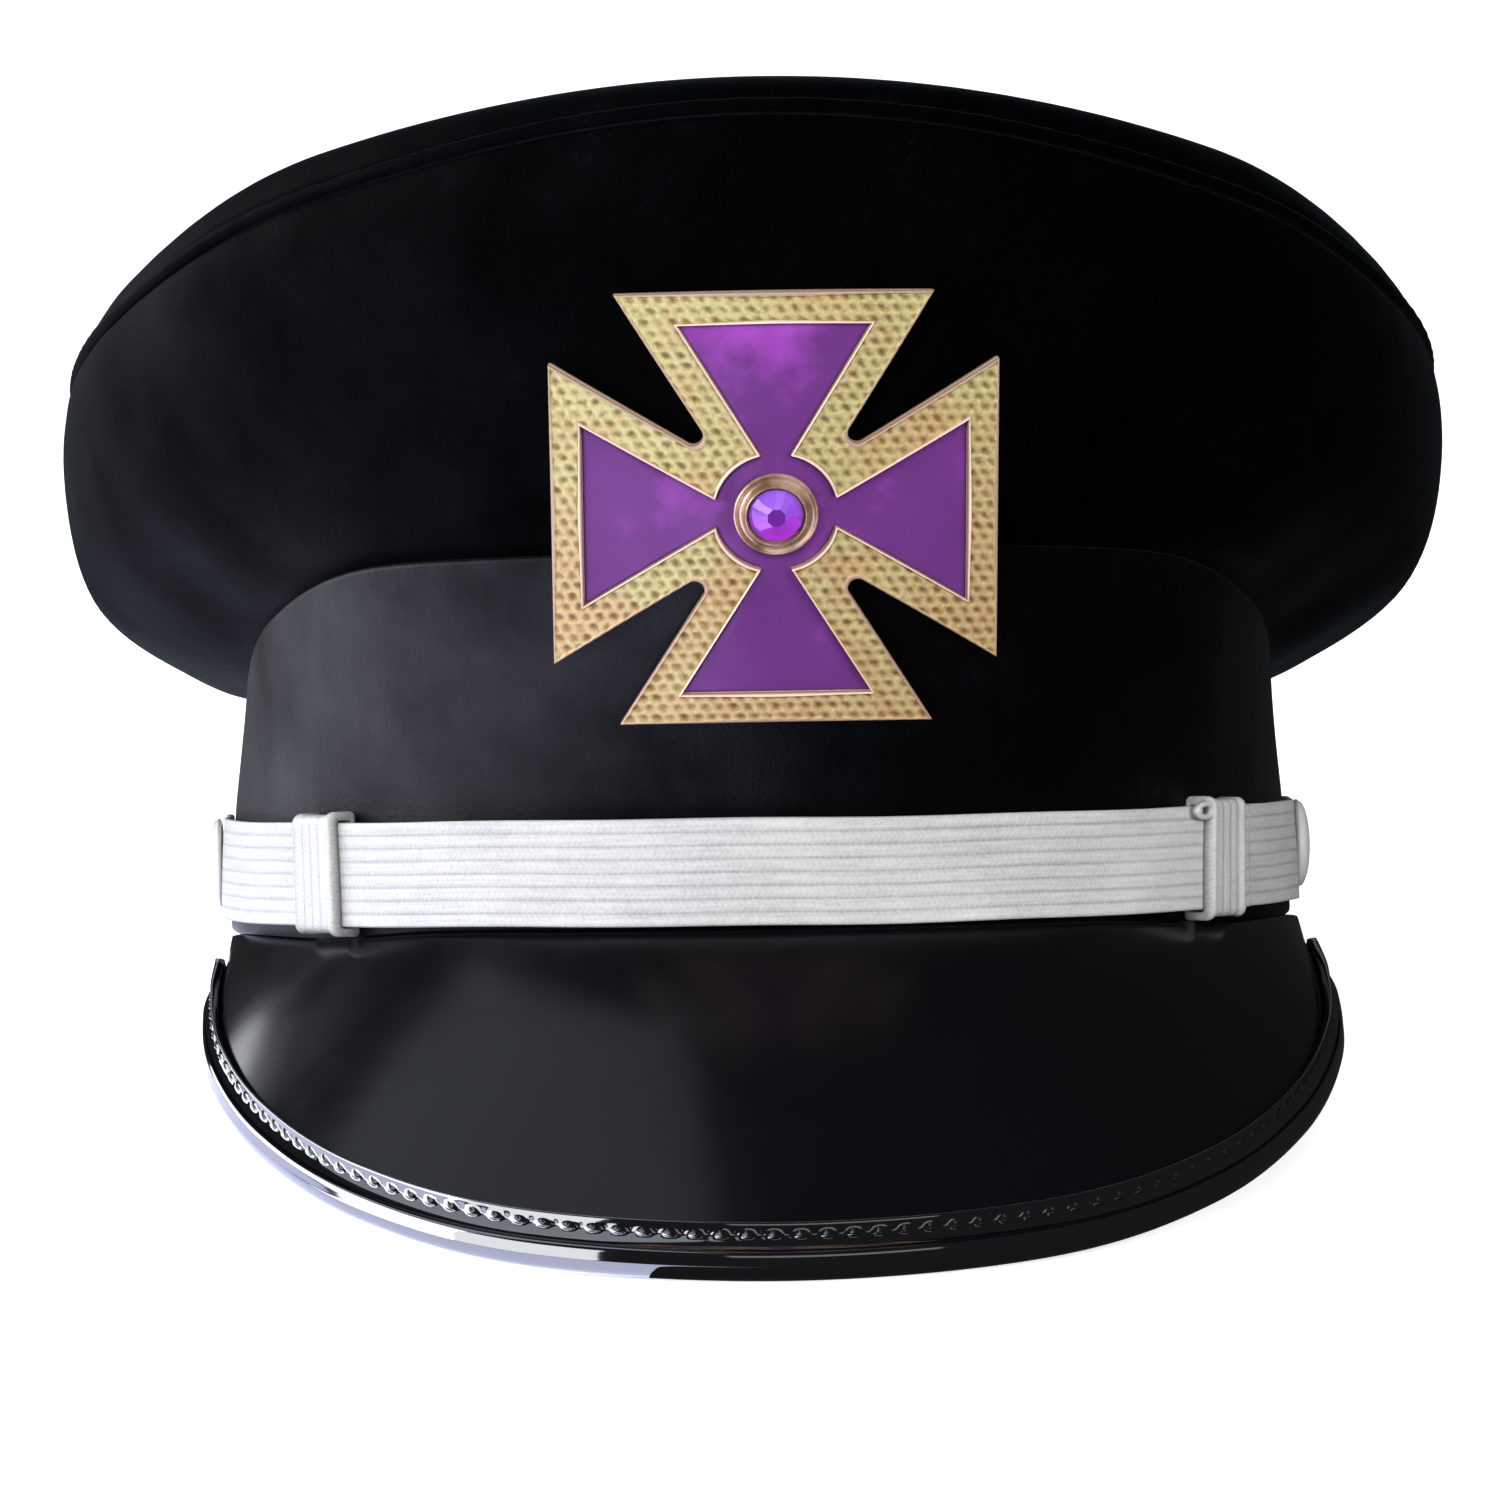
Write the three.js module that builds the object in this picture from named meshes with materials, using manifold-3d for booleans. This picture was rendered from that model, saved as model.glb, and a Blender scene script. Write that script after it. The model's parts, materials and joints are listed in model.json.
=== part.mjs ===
// A peaked fatigue cap: a stiff oval band, a puffed crown that overhangs it, a glossy peak with a
// bound edge, a braided chin strap between two side buttons, and a jewelled cross badge in front.
// Millimetres, +Z up, front towards -Y. The cap is worked out upright, as it is worn, with the
// band's lower edge in the plane z = 0, and is then leant back until it stands on its peak and on
// the back of its band.

import * as THREE from "three";
import { mergeVertices } from "three/addons/utils/BufferGeometryUtils.js";
import { TessellateModifier } from "three/addons/modifiers/TessellateModifier.js";
import Module from "manifold-3d";

const wasm = await Module();
wasm.setup();

// Driving dimensions
const GAP = 0.3;
const AROUND = 60;
const OVAL = { halfWidth: 86, front: 102, back: 103, squareness: 2.15 };
const BAND = { wall: 4.4, midHeight: 20, lip: 1.8, rebate: 7, roundTop: 0.9 };
const CLOTH = 2.2;
const WELT_RADIUS = 1.2;
const CROWN_CENTRE = { y: 2, z: 99 };
const SLOUCH = 0.007;
const VISOR = { thickness: 2.4, bow: 1.6, steps: 44 };
const BINDING = { inward: 4.6, outward: 2.5, skin: 1.15 };
const STRAP = { width: 15.6, thickness: 1.0, frontHeight: 11.5, sideHeight: 10.6, endLap: 8 };
const KEEPER = { startAngle: 44.5, length: 12, wall: 0.8, bead: 0.8 };
const BUTTON = { angle: 87, radius: 7.2, dome: 2.7, shankRadius: 1.2 };
const BADGE = { half: 32.1, armHalf: 22.5, flare: 31.5, notchRadius: 1.4, thickness: 1.8 };
const BADGE_FACE = { height: 63.4, lean: 20, vertRadius: 400, roundRadius: 95, clear: 3.1 };
const INLAY = { reach: 27.4, endHalf: 13.4, neckHalf: 2, middleRadius: 8.6, thickness: 1.1 };
const JEWEL = { radius: 3.9, setting: 5.7 };

// The shape of the cap at some angles round it, from the front to the back. "Out" is how far a line
// of the cap lies outside the band's lower edge, and "Z" its height.
const SECTION_COLUMNS = [
  "angle", "midOut", "topOut", "topZ", "underOut", "underZ", "flankOut", "flankZ",
  "bulgeOut", "bulgeZ", "seamOut", "seamZ", "crestOut", "crestZ",
];
const SECTIONS = [
  [0, 1.5, 15.5, 57.5, 19, 67, 25, 86, 29.5, 105, 29.5, 119.8, 23.5, 124.3],
  [35, 1.0, 9.5, 57.0, 13.5, 65, 20.8, 79, 26.2, 97, 26.6, 109.3, 22, 115.8],
  [60, -0.2, 1.5, 49.0, 8.2, 56, 19.8, 66, 25.2, 83, 24.6, 96, 19.5, 103],
  [80, -1.0, -3.0, 38.6, 6, 44.6, 20.8, 56, 25.4, 74, 23.5, 87, 18, 94.5],
  [100, -1.2, -3.7, 34.8, 6, 40, 21.2, 50.5, 25.8, 68, 23.5, 80, 18, 87],
  [140, -1.0, -3.5, 33.5, 8.2, 39, 24.2, 49, 29.0, 61.5, 26.0, 71, 20, 76.5],
  [180, -1.0, -3.0, 33.0, 9.0, 39, 25.5, 48, 30.5, 58, 27.0, 66.5, 20.5, 71.5],
];

// The peak's lower face at some places along it: the angle and height of its root on the band, and
// then its edge, as x, y and z.
const VISOR_STATIONS = [
  [0, 1.7, 0, -142.5, -41.9],
  [18, 1.6, 35.5, -135.8, -40.1],
  [34, 1.2, 58.6, -120, -35.2],
  [47, -0.3, 73.6, -100, -28],
  [57, -0.6, 81.5, -80, -20],
  [64, -0.7, 83.5, -61.5, -12.6],
  [70, -0.7, 82.3, -43, -6.4],
];

const radians = THREE.MathUtils.degToRad;

// Reads one column of a table at a value of its first column, smoothly, with a level start and end.
function readTable(columns, rows, name, at) {
  const column = columns.indexOf(name);
  const last = rows.length - 1;
  let i = 0;
  while (i < last - 1 && at > rows[i + 1][0]) i += 1;
  const slope = (k) =>
    k <= 0 || k >= last
      ? 0
      : (rows[k + 1][column] - rows[k - 1][column]) / (rows[k + 1][0] - rows[k - 1][0]);
  const span = rows[i + 1][0] - rows[i][0];
  const s = THREE.MathUtils.clamp((at - rows[i][0]) / span, 0, 1);
  return (
    rows[i][column] * (2 * s ** 3 - 3 * s ** 2 + 1) +
    slope(i) * span * (s ** 3 - 2 * s ** 2 + s) +
    rows[i + 1][column] * (-2 * s ** 3 + 3 * s ** 2) +
    slope(i + 1) * span * (s ** 3 - s ** 2)
  );
}

// A named value of the cap's section at an angle, in degrees from the front towards +X.
function section(name, angle) {
  const turned = Math.abs(((angle + 540) % 360) - 180);
  return readTable(SECTION_COLUMNS, SECTIONS, name, turned);
}

// The band's lower outer edge, a squared-off oval.
function ovalPoint(angle) {
  const s = Math.sin(radians(angle));
  const c = Math.cos(radians(angle));
  const power = 2 / OVAL.squareness;
  const reach = c > 0 ? OVAL.front : OVAL.back;
  return new THREE.Vector2(
    OVAL.halfWidth * Math.sign(s) * Math.abs(s) ** power,
    -reach * Math.sign(c) * Math.abs(c) ** power,
  );
}

// The level direction that points out of that oval.
function ovalNormal(angle) {
  const along = ovalPoint(angle + 0.5).sub(ovalPoint(angle - 0.5)).normalize();
  return new THREE.Vector2(along.y, -along.x);
}

// A point at an angle, so far outside the oval, and at a height.
function outside(angle, out, z) {
  const p = ovalPoint(angle).addScaledVector(ovalNormal(angle), out);
  return new THREE.Vector3(p.x, p.y, z);
}

// How far the band's outer face lies outside the oval at a height: an arc from its lower edge,
// through the middle, to its top.
function bandOut(angle, z) {
  const top = section("topZ", angle);
  const mid = section("midOut", angle);
  if (z <= BAND.midHeight) return mid * Math.max(0, z / BAND.midHeight) ** 1.5;
  const rise = (z - BAND.midHeight) / (top - BAND.midHeight);
  const lean = (1.5 * mid * (top - BAND.midHeight)) / BAND.midHeight;
  return mid + lean * rise + (section("topOut", angle) - mid - lean) * rise ** 1.25;
}

// The angle at which an arc of a given length along the oval ends, counted from the front.
function angleAtArc(length) {
  const step = 0.25;
  let walked = 0;
  let angle = 0;
  while (walked < Math.abs(length)) {
    walked += ovalPoint(angle + step).distanceTo(ovalPoint(angle));
    angle += step;
  }
  return Math.sign(length) * angle;
}

function arcAtAngle(angle) {
  const step = 0.25;
  let walked = 0;
  for (let a = 0; a < angle; a += step) walked += ovalPoint(a + step).distanceTo(ovalPoint(a));
  return walked;
}

// Triangles that join rings of points, each ring to the next. A ring of one point is a pole.
function joinRings(rings) {
  const triangles = [];
  for (let i = 0; i < rings.length - 1; i += 1) {
    const [a, b] = [rings[i], rings[i + 1]];
    const count = Math.max(a.length, b.length);
    for (let j = 0; j < count; j += 1) {
      const k = (j + 1) % count;
      if (a.length > 1) triangles.push([a[j], a[k], b[b.length > 1 ? k : 0]]);
      if (b.length > 1) triangles.push([a[a.length > 1 ? j : 0], b[k], b[j]]);
    }
  }
  return triangles;
}

// A geometry from triangles of points, turned so that its faces point out.
function closedGeometry(triangles) {
  const volume = triangles.reduce((sum, [a, b, c]) => sum + a.dot(b.clone().cross(c)), 0);
  const points = triangles.flatMap(([a, b, c]) => (volume > 0 ? [a, b, c] : [a, c, b]));
  return mergeVertices(new THREE.BufferGeometry().setFromPoints(points), 1e-4);
}

// A solid whose section runs all the way round and closes on itself.
function ringSolid(rings) {
  return closedGeometry(joinRings([...rings, rings[0]]));
}

// A solid swept through closed sections, with a flat cap on each end.
function sweptSolid(sections, outline) {
  const clockwise = THREE.ShapeUtils.isClockWise(outline);
  const caps = THREE.ShapeUtils.triangulateShape(outline, []).map(([i, j, k]) =>
    clockwise ? [i, k, j] : [i, j, k],
  );
  const first = sections[0];
  const last = sections[sections.length - 1];
  return closedGeometry([
    ...joinRings(sections),
    ...caps.map(([i, j, k]) => [first[i], first[k], first[j]]),
    ...caps.map(([i, j, k]) => [last[i], last[j], last[k]]),
  ]);
}

// A solid between an outer and an inner face, both grids of rows of points.
function slabSolid(outer, inner) {
  const border = (grid) => [
    ...grid[0],
    ...grid.slice(1, -1).map((row) => row[row.length - 1]),
    ...[...grid[grid.length - 1]].reverse(),
    ...grid.slice(1, -1).map((row) => row[0]).reverse(),
  ];
  const face = (grid, flip) =>
    grid.slice(1).flatMap((row, i) =>
      row.slice(1).flatMap((p, j) => {
        const quad = [grid[i][j], grid[i][j + 1], p, row[j]];
        const [a, b, c, d] = flip ? quad.reverse() : quad;
        return [[a, b, c], [a, c, d]];
      }),
    );
  return closedGeometry([
    ...face(outer, false),
    ...face(inner, true),
    ...joinRings([border(inner), border(outer)]),
  ]);
}

// manifold-3d joins and cuts: a solid from a geometry, and a geometry from a solid.
function toSolid(geometry) {
  const bare = geometry.clone().deleteAttribute("normal").deleteAttribute("uv");
  const merged = mergeVertices(bare, 1e-4);
  return new wasm.Manifold(
    new wasm.Mesh({
      numProp: 3,
      vertProperties: new Float32Array(merged.attributes.position.array),
      triVerts: new Uint32Array(merged.index.array),
    }),
  );
}

function toGeometry(solid) {
  const mesh = solid.getMesh();
  const geometry = new THREE.BufferGeometry();
  geometry.setAttribute("position", new THREE.BufferAttribute(mesh.vertProperties, 3));
  geometry.setIndex(new THREE.BufferAttribute(mesh.triVerts, 1));
  return geometry;
}

const cap = new THREE.Group();
const finishes = {
  cloth: { color: 0x0b0c0f, roughness: 0.95, metalness: 0 },
  patent: { color: 0x050507, roughness: 0.12, metalness: 0 },
  silver: { color: 0xd8d8d6, roughness: 0.42, metalness: 0.35 },
  gold: { color: 0xc9a94a, roughness: 0.35, metalness: 0.8 },
  purple: { color: 0x6a2a8c, roughness: 0.3, metalness: 0.1 },
  stone: { color: 0x9a2be0, roughness: 0.05, metalness: 0 },
};

function addPiece(name, geometry, finish, parent = cap) {
  const mesh = new THREE.Mesh(geometry, new THREE.MeshStandardMaterial(finishes[finish]));
  mesh.name = name;
  parent.add(mesh);
  return mesh;
}

const angles = Array.from({ length: AROUND }, (_, i) => (i * 360) / AROUND);

// The band: a stiff wall covered in cloth, with a rounded top edge. Inside its top a rebate takes
// the foot of the crown.
function bandGeometry() {
  const ring = (inset, height) =>
    angles.map((angle) => {
      const z = height(section("topZ", angle));
      return outside(angle, bandOut(angle, z) - inset, z);
    });
  return ringSolid([
    ring(0, () => 0),
    ring(0, () => 9),
    ring(0, () => BAND.midHeight),
    ring(0, (top) => (top + BAND.midHeight) / 2),
    ring(0, (top) => top - BAND.roundTop),
    ring(BAND.roundTop, (top) => top),
    ring(BAND.lip, (top) => top - BAND.roundTop),
    ring(BAND.lip, (top) => top - BAND.rebate),
    ring(BAND.wall, (top) => top - BAND.rebate),
    ring(BAND.wall, () => BAND.midHeight),
    ring(BAND.wall, () => 0),
  ]);
}

// The crown's outer line at an angle, from its foot to the middle of its top.
function crownLine(angle) {
  const at = (name) => section(name, angle);
  const foot = at("topOut") - BAND.lip - GAP;
  const point = (out, z) => {
    const p = outside(angle, out, z);
    p.z -= SLOUCH * p.x * THREE.MathUtils.smoothstep(z - at("topZ"), 8, 40);
    return p;
  };
  const crest = point(at("crestOut"), at("crestZ"));
  const c = Math.cos(radians(angle));
  const tilt = ((section("crestZ", 0) - section("crestZ", 180)) / 2) * c;
  const topPoint = (share) =>
    new THREE.Vector3(
      crest.x * share,
      CROWN_CENTRE.y + (crest.y - CROWN_CENTRE.y) * share,
      CROWN_CENTRE.z + tilt * share + (crest.z - CROWN_CENTRE.z - tilt) * share ** 2,
    );
  const side = new THREE.CatmullRomCurve3([
    point(foot, at("topZ") + 0.3),
    point(at("underOut"), at("underZ")),
    point(at("flankOut"), at("flankZ")),
    point(at("bulgeOut"), at("bulgeZ")),
    point(at("seamOut"), at("seamZ")),
    crest,
    topPoint(0.86),
    topPoint(0.6),
  ]);
  const footing = [GAP - BAND.rebate, -BAND.roundTop].map((up) => {
    const z = at("topZ") + up;
    return point(bandOut(angle, z) - BAND.lip - GAP, z);
  });
  return { side, footing, topPoint };
}

const crownLines = angles.map(crownLine);
const SEAM_SHARE = 4 / 7;

// Where the curve is a given length before or after the seam.
function beside(line, offset) {
  const step = 1e-3;
  const speed =
    line.side.getPoint(SEAM_SHARE + step).distanceTo(line.side.getPoint(SEAM_SHARE)) / step;
  return line.side.getPoint(SEAM_SHARE + offset / speed);
}

// Pushes a grid of rings inwards by the cloth's thickness. The first few can be pushed levelly.
function thickened(rings, thickness, levelRings = 0) {
  const count = AROUND;
  return rings.map((ring, i) =>
    ring.map((p, j) => {
      const before = rings[Math.max(i - 1, 0)];
      const after = rings[Math.min(i + 1, rings.length - 1)];
      const along = after[j % after.length].clone().sub(before[j % before.length]);
      const round = ring[(j + 1) % count].clone().sub(ring[(j + count - 1) % count]);
      const out = round.cross(along);
      if (i < levelRings) out.z = 0;
      return p.clone().addScaledVector(out.normalize(), -thickness);
    }),
  );
}

function crownSideGeometry() {
  const seamClear = WELT_RADIUS + GAP;
  const outer = [
    crownLines.map((line) => line.footing[0]),
    crownLines.map((line) => line.footing[1]),
    ...[0, 0.07, 0.15, 0.24, 0.33, 0.42, 0.5].map((share) =>
      crownLines.map((line) => line.side.getPoint(share)),
    ),
    crownLines.map((line) => beside(line, -seamClear)),
  ];
  const inner = thickened(outer, CLOTH, 2);
  return ringSolid([...outer, ...inner.reverse()]);
}

// The top of the crown: it starts beyond the welt, rolls over the crest and closes in the middle.
function crownTopGeometry() {
  const shares = [0.64, 0.71, 0.78, 0.86];
  const outer = [
    crownLines.map((line) => beside(line, WELT_RADIUS + GAP)),
    ...shares.map((share) => crownLines.map((line) => line.side.getPoint(share))),
    ...[0.6, 0.3].map((share) => crownLines.map((line) => line.topPoint(share))),
  ];
  const inner = thickened(outer, CLOTH);
  const middle = new THREE.Vector3(0, CROWN_CENTRE.y, CROWN_CENTRE.z);
  const under = middle.clone().add(new THREE.Vector3(0, 0, -CLOTH));
  return closedGeometry(joinRings([[under], ...inner.reverse(), ...outer, [middle]]));
}

// The welt: a thin corded strip of the same cloth, sewn into the seam round the crown's top.
function weltGeometry() {
  const sides = 6;
  const frames = crownLines.map((line) => {
    const seam = line.side.getPoint(SEAM_SHARE);
    const along = beside(line, 1).sub(beside(line, -1)).normalize();
    return { seam, along };
  });
  const rings = Array.from({ length: sides }, (_, k) => {
    const turn = (2 * Math.PI * k) / sides;
    return frames.map(({ seam, along }, j) => {
      const next = frames[(j + 1) % AROUND].seam;
      const last = frames[(j + AROUND - 1) % AROUND].seam;
      const out = next.clone().sub(last).cross(along).normalize();
      return seam
        .clone()
        .addScaledVector(along, WELT_RADIUS * Math.cos(turn))
        .addScaledVector(out, WELT_RADIUS * (Math.sin(turn) - 0.35));
    });
  });
  return ringSolid(rings);
}

addPiece("crown_side", crownSideGeometry(), "cloth");
addPiece("crown_top", crownTopGeometry(), "cloth");
addPiece("crown_welt", weltGeometry(), "cloth");

// The peak's lower face, as a grid: "along" runs from one end of the peak to the other, from -1 to
// 1, and "down" from its root on the band to its edge.
const visorStations = [
  ...VISOR_STATIONS.slice(1).reverse().map(([angle, z, x, ...rest]) => [-angle, z, -x, ...rest]),
  ...VISOR_STATIONS,
];
const visorEdge = new THREE.CatmullRomCurve3(
  visorStations.map(([, , x, y, z]) => new THREE.Vector3(x, y, z)), false, "catmullrom", 0.5,
);
const visorRoot = new THREE.CatmullRomCurve3(
  visorStations.map(([angle, z]) => new THREE.Vector3(angle, z, 0)), false, "catmullrom", 0.5,
);

function visorLowerPoint(along, down) {
  const share = THREE.MathUtils.clamp((along + 1) / 2, 0, 1);
  const { x: angle, y: height } = visorRoot.getPoint(share);
  const root = outside(angle, GAP + 0.1, height);
  const line = visorEdge.getPoint(share).sub(root);
  const raised = (VISOR.bow * Math.sin(Math.PI * down) * line.length()) / 60;
  return root.addScaledVector(line, down).add(new THREE.Vector3(0, 0, raised));
}

function visorFrame(along, down) {
  const step = 1e-3;
  const p = visorLowerPoint(along, down);
  const across = visorLowerPoint(along + step, down).sub(visorLowerPoint(along - step, down));
  const outward = visorLowerPoint(along, down + step).sub(visorLowerPoint(along, down - step));
  const normal = outward.clone().cross(across).normalize();
  if (normal.z < 0) normal.negate();
  return { p, across: across.normalize(), outward: outward.normalize(), normal };
}

const visorAlong = Array.from({ length: VISOR.steps + 1 }, (_, i) => (2 * i) / VISOR.steps - 1);

// The peak: a bowed plate.
function visorGeometry() {
  const downs = [0, 0.33, 0.67, 1];
  const face = (lift) =>
    downs.map((down) =>
      visorAlong.map((along) => {
        const { p, normal } = visorFrame(along, down);
        return p.addScaledVector(normal, lift);
      }),
    );
  return slabSolid(face(VISOR.thickness), face(0));
}

addPiece("visor", visorGeometry(), "patent");

// The binding: a folded strip that grips the peak's edge, a U in section.
function bindingGeometry() {
  const { inward, outward, skin } = BINDING;
  const slot = VISOR.thickness / 2 + 1.5 * GAP;
  const face = slot + skin;
  const outline = [
    [-inward, slot], [0.2 - inward, face - 0.3], [0.6, face], [outward - 0.6, face - 0.9],
    [outward, 0], [outward - 0.6, 0.9 - face], [0.6, -face], [0.2 - inward, 0.3 - face],
    [-inward, -slot], [GAP, -slot], [GAP, slot],
  ].map(([out, up]) => new THREE.Vector2(out, up));
  const half = VISOR.thickness / 2;
  const sections = visorAlong.map((along) => {
    const edge = visorFrame(along, 1);
    const level = edge.outward.clone();
    level.addScaledVector(edge.across, -level.dot(edge.across)).normalize();
    const room = edge.p.distanceTo(visorLowerPoint(along, 0));
    const reach = Math.min(1, (0.42 * room) / inward);
    return outline.map((o) => {
      if (o.x > 0) {
        return edge.p.clone().addScaledVector(level, o.x).addScaledVector(edge.normal, half + o.y);
      }
      const { p, normal } = visorFrame(along, 1 + (o.x * reach) / room);
      return p.addScaledVector(normal, half + o.y);
    });
  });
  return sweptSolid(sections, outline);
}

addPiece("visor_binding", bindingGeometry(), "patent");

// The chin strap: two lengths of flat silver braid, one over the other. Each is fixed under a side
// button, and its other end carries the keeper that the other one slides through.
const buttonArc = arcAtAngle(BUTTON.angle);
const keeperArc = arcAtAngle(KEEPER.startAngle);
const LAYERS = {
  keeperBack: GAP,
  inner: 2 * GAP + 0.6,
  outer: 3 * GAP + 0.6 + STRAP.thickness,
  keeperFront: 4 * GAP + 0.6 + 2 * STRAP.thickness,
};

function strapHeight(angle) {
  const front = Math.cos(radians(angle)) ** 2;
  return STRAP.sideHeight + (STRAP.frontHeight - STRAP.sideHeight) * front;
}

// A point so far along the band from the front, so far out of its face, and above the strap's line.
function strapPoint(arc, out, up) {
  const angle = angleAtArc(arc);
  const z = strapHeight(angle) + up;
  return outside(angle, bandOut(angle, z) + out, z);
}

// One strap, from its buttoned end to its free end. Its buttoned end comes down onto the band.
function strapGeometry(side, layer, buttonEnd) {
  const freeEnd = keeperArc + KEEPER.length + 2;
  const steps = 40;
  const total = buttonEnd + freeEnd;
  const outline = [[0, -1], [1, -1], [1, 1], [0, 1]].map(([x, y]) => new THREE.Vector2(x, y));
  const stops = [
    ...[0, 0.12, 0.35, 0.65].map((share) => share * STRAP.endLap),
    ...Array.from({ length: steps + 1 }, (_, i) => STRAP.endLap + (i * (total - STRAP.endLap)) / steps),
  ];
  const sections = stops.map((walked) => {
    const arc = walked - buttonEnd;
    const rounding = Math.max(0, 1 - walked / STRAP.endLap);
    const half = (STRAP.width / 2) * Math.sqrt(Math.max(0.04, 1 - rounding ** 2));
    const settled = THREE.MathUtils.smoothstep(walked, 2.2 * STRAP.endLap, 5 * STRAP.endLap);
    const out = GAP + (layer - GAP) * settled;
    return outline.map((o) => strapPoint(side * arc, out + o.x * STRAP.thickness, o.y * half));
  });
  return sweptSolid(sections, outline);
}

// A keeper: a flat sleeve round both straps, with a beaded edge towards the front of the cap.
function keeperGeometry(side) {
  const half = STRAP.width / 2 + GAP;
  const loop = (arc, grow, front) => {
    const back = LAYERS.keeperBack + 0.6 - Math.min(grow, 0.6);
    const top = half + grow;
    const corner = 0.6;
    const outline = [
      [back, -top], [front - corner, -top], [front, corner - top], [front, top - corner],
      [front - corner, top], [back, top],
    ];
    return outline.map(([out, up]) => strapPoint(side * arc, out, up));
  };
  const inside = LAYERS.keeperFront;
  const shell = inside + KEEPER.wall;
  const stops = [0, 0.6, 1.8, 2.4, 6, 9, KEEPER.length];
  const bead = [0, KEEPER.bead, KEEPER.bead, 0, 0, 0, 0];
  const outer = stops.map((walked, i) =>
    loop(keeperArc + walked, KEEPER.wall + bead[i] * 0.7, shell + bead[i]),
  );
  const inner = stops.map((walked) => loop(keeperArc + walked, 0, inside));
  return ringSolid([...outer, ...inner.reverse()]);
}

// A side button: a plain dome on a shank that goes through the strap's end and the band.
function buttonGeometry() {
  const { radius, dome, shankRadius } = BUTTON;
  const shank = BAND.wall + STRAP.thickness + 2 * GAP;
  const profile = [
    [0, -shank], [shankRadius, -shank], [shankRadius, 0], [radius - 0.6, 0], [radius, 0.5],
    [radius - 0.5, 1.1], [radius * 0.82, 1.1 + (dome - 1.1) * 0.45],
    [radius * 0.5, 1.1 + (dome - 1.1) * 0.84], [0, dome],
  ].map(([x, y]) => new THREE.Vector2(x, y));
  return new THREE.LatheGeometry(profile, 18);
}

// Stands a piece whose axis is +Y on the band at a side button's place.
function placeOnBand(object, side, out) {
  const seat = strapPoint(side * buttonArc, out, 0);
  const away = strapPoint(side * buttonArc, out + 1, 0).sub(seat).normalize();
  object.position.copy(seat);
  object.quaternion.setFromUnitVectors(new THREE.Vector3(0, 1, 0), away);
  object.updateMatrixWorld(true);
}

// The holes that both buttons' shanks go through.
function shankHoles() {
  return [-1, 1].map((side) => {
    const drill = new THREE.Mesh(new THREE.CylinderGeometry(1, 1, 24, 10));
    drill.geometry.scale(BUTTON.shankRadius + GAP, 1, BUTTON.shankRadius + GAP);
    placeOnBand(drill, side, 0);
    return toSolid(drill.geometry.applyMatrix4(drill.matrixWorld));
  });
}

const holes = shankHoles();
const drilled = (geometry) =>
  toGeometry(holes.reduce((solid, hole) => solid.subtract(hole), toSolid(geometry)));

addPiece("band", drilled(bandGeometry()), "cloth");
const strapReach = buttonArc + STRAP.endLap;
addPiece("strap_outer", drilled(strapGeometry(1, LAYERS.outer, strapReach)), "silver");
addPiece("strap_inner", drilled(strapGeometry(-1, LAYERS.inner, strapReach)), "silver");
for (const [name, side] of [["left", -1], ["right", 1]]) {
  addPiece(`keeper_${name}`, keeperGeometry(side), "silver");
  const button = addPiece(`side_button_${name}`, buttonGeometry(), "silver");
  placeOnBand(button, side, 2 * GAP + STRAP.thickness);
}

// The badge lies on a curved face: "along" and "up" run over that face, and "high" out of it.
function badgePoint(along, up, high) {
  const { height, lean, vertRadius, roundRadius, clear } = BADGE_FACE;
  const start = radians(lean);
  const tip = start - up / vertRadius;
  const turn = along / roundRadius;
  const rise = vertRadius * (Math.sin(start) - Math.sin(tip));
  const reach = vertRadius * (Math.cos(tip) - Math.cos(start));
  const seat = OVAL.front + section("topOut", 0) + clear + reach;
  const out = new THREE.Vector3(Math.sin(turn), -Math.cos(turn), 0);
  return new THREE.Vector3(0, roundRadius - seat, height + rise)
    .addScaledVector(out, roundRadius + high * Math.cos(tip))
    .add(new THREE.Vector3(0, 0, -high * Math.sin(tip)));
}

// Bends a flat extruded shape onto the badge's face. Long triangles are split first.
function bent(geometry) {
  const split = new TessellateModifier(9.5, 16).modify(geometry);
  const place = split.attributes.position;
  for (let i = 0; i < place.count; i += 1) {
    const p = badgePoint(place.getX(i), place.getY(i), place.getZ(i));
    place.setXYZ(i, p.x, p.y, p.z);
  }
  return mergeVertices(split.deleteAttribute("normal").deleteAttribute("uv"), 1e-3);
}

// Points along an arc, its angles in degrees.
function arcPoints(x, y, radius, from, to, steps) {
  return Array.from({ length: steps + 1 }, (_, i) => {
    const a = radians(from + ((to - from) * i) / steps);
    return new THREE.Vector2(x + radius * Math.cos(a), y + radius * Math.sin(a));
  });
}

// A closed outline from the points of its first quarter, which is turned four times.
function fourTimes(quarter) {
  const middle = new THREE.Vector2();
  return [0, 1, 2, 3].flatMap((k) =>
    quarter.map((p) => p.clone().rotateAround(middle, (-k * Math.PI) / 2)),
  );
}

// The outline of a cross with four flared arms and rounded notches between them.
function crossOutline() {
  const { half, armHalf, flare, notchRadius } = BADGE;
  const s = Math.sin(radians(flare));
  const c = Math.cos(radians(flare));
  const notch = (notchRadius + armHalf * c - half * s) / (c - s);
  const corner = [new THREE.Vector2(-armHalf, half), new THREE.Vector2(armHalf, half)];
  return fourTimes([
    ...corner,
    ...arcPoints(notch, notch, notchRadius, 180 - flare, 270 + flare, 4),
  ]);
}

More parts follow.
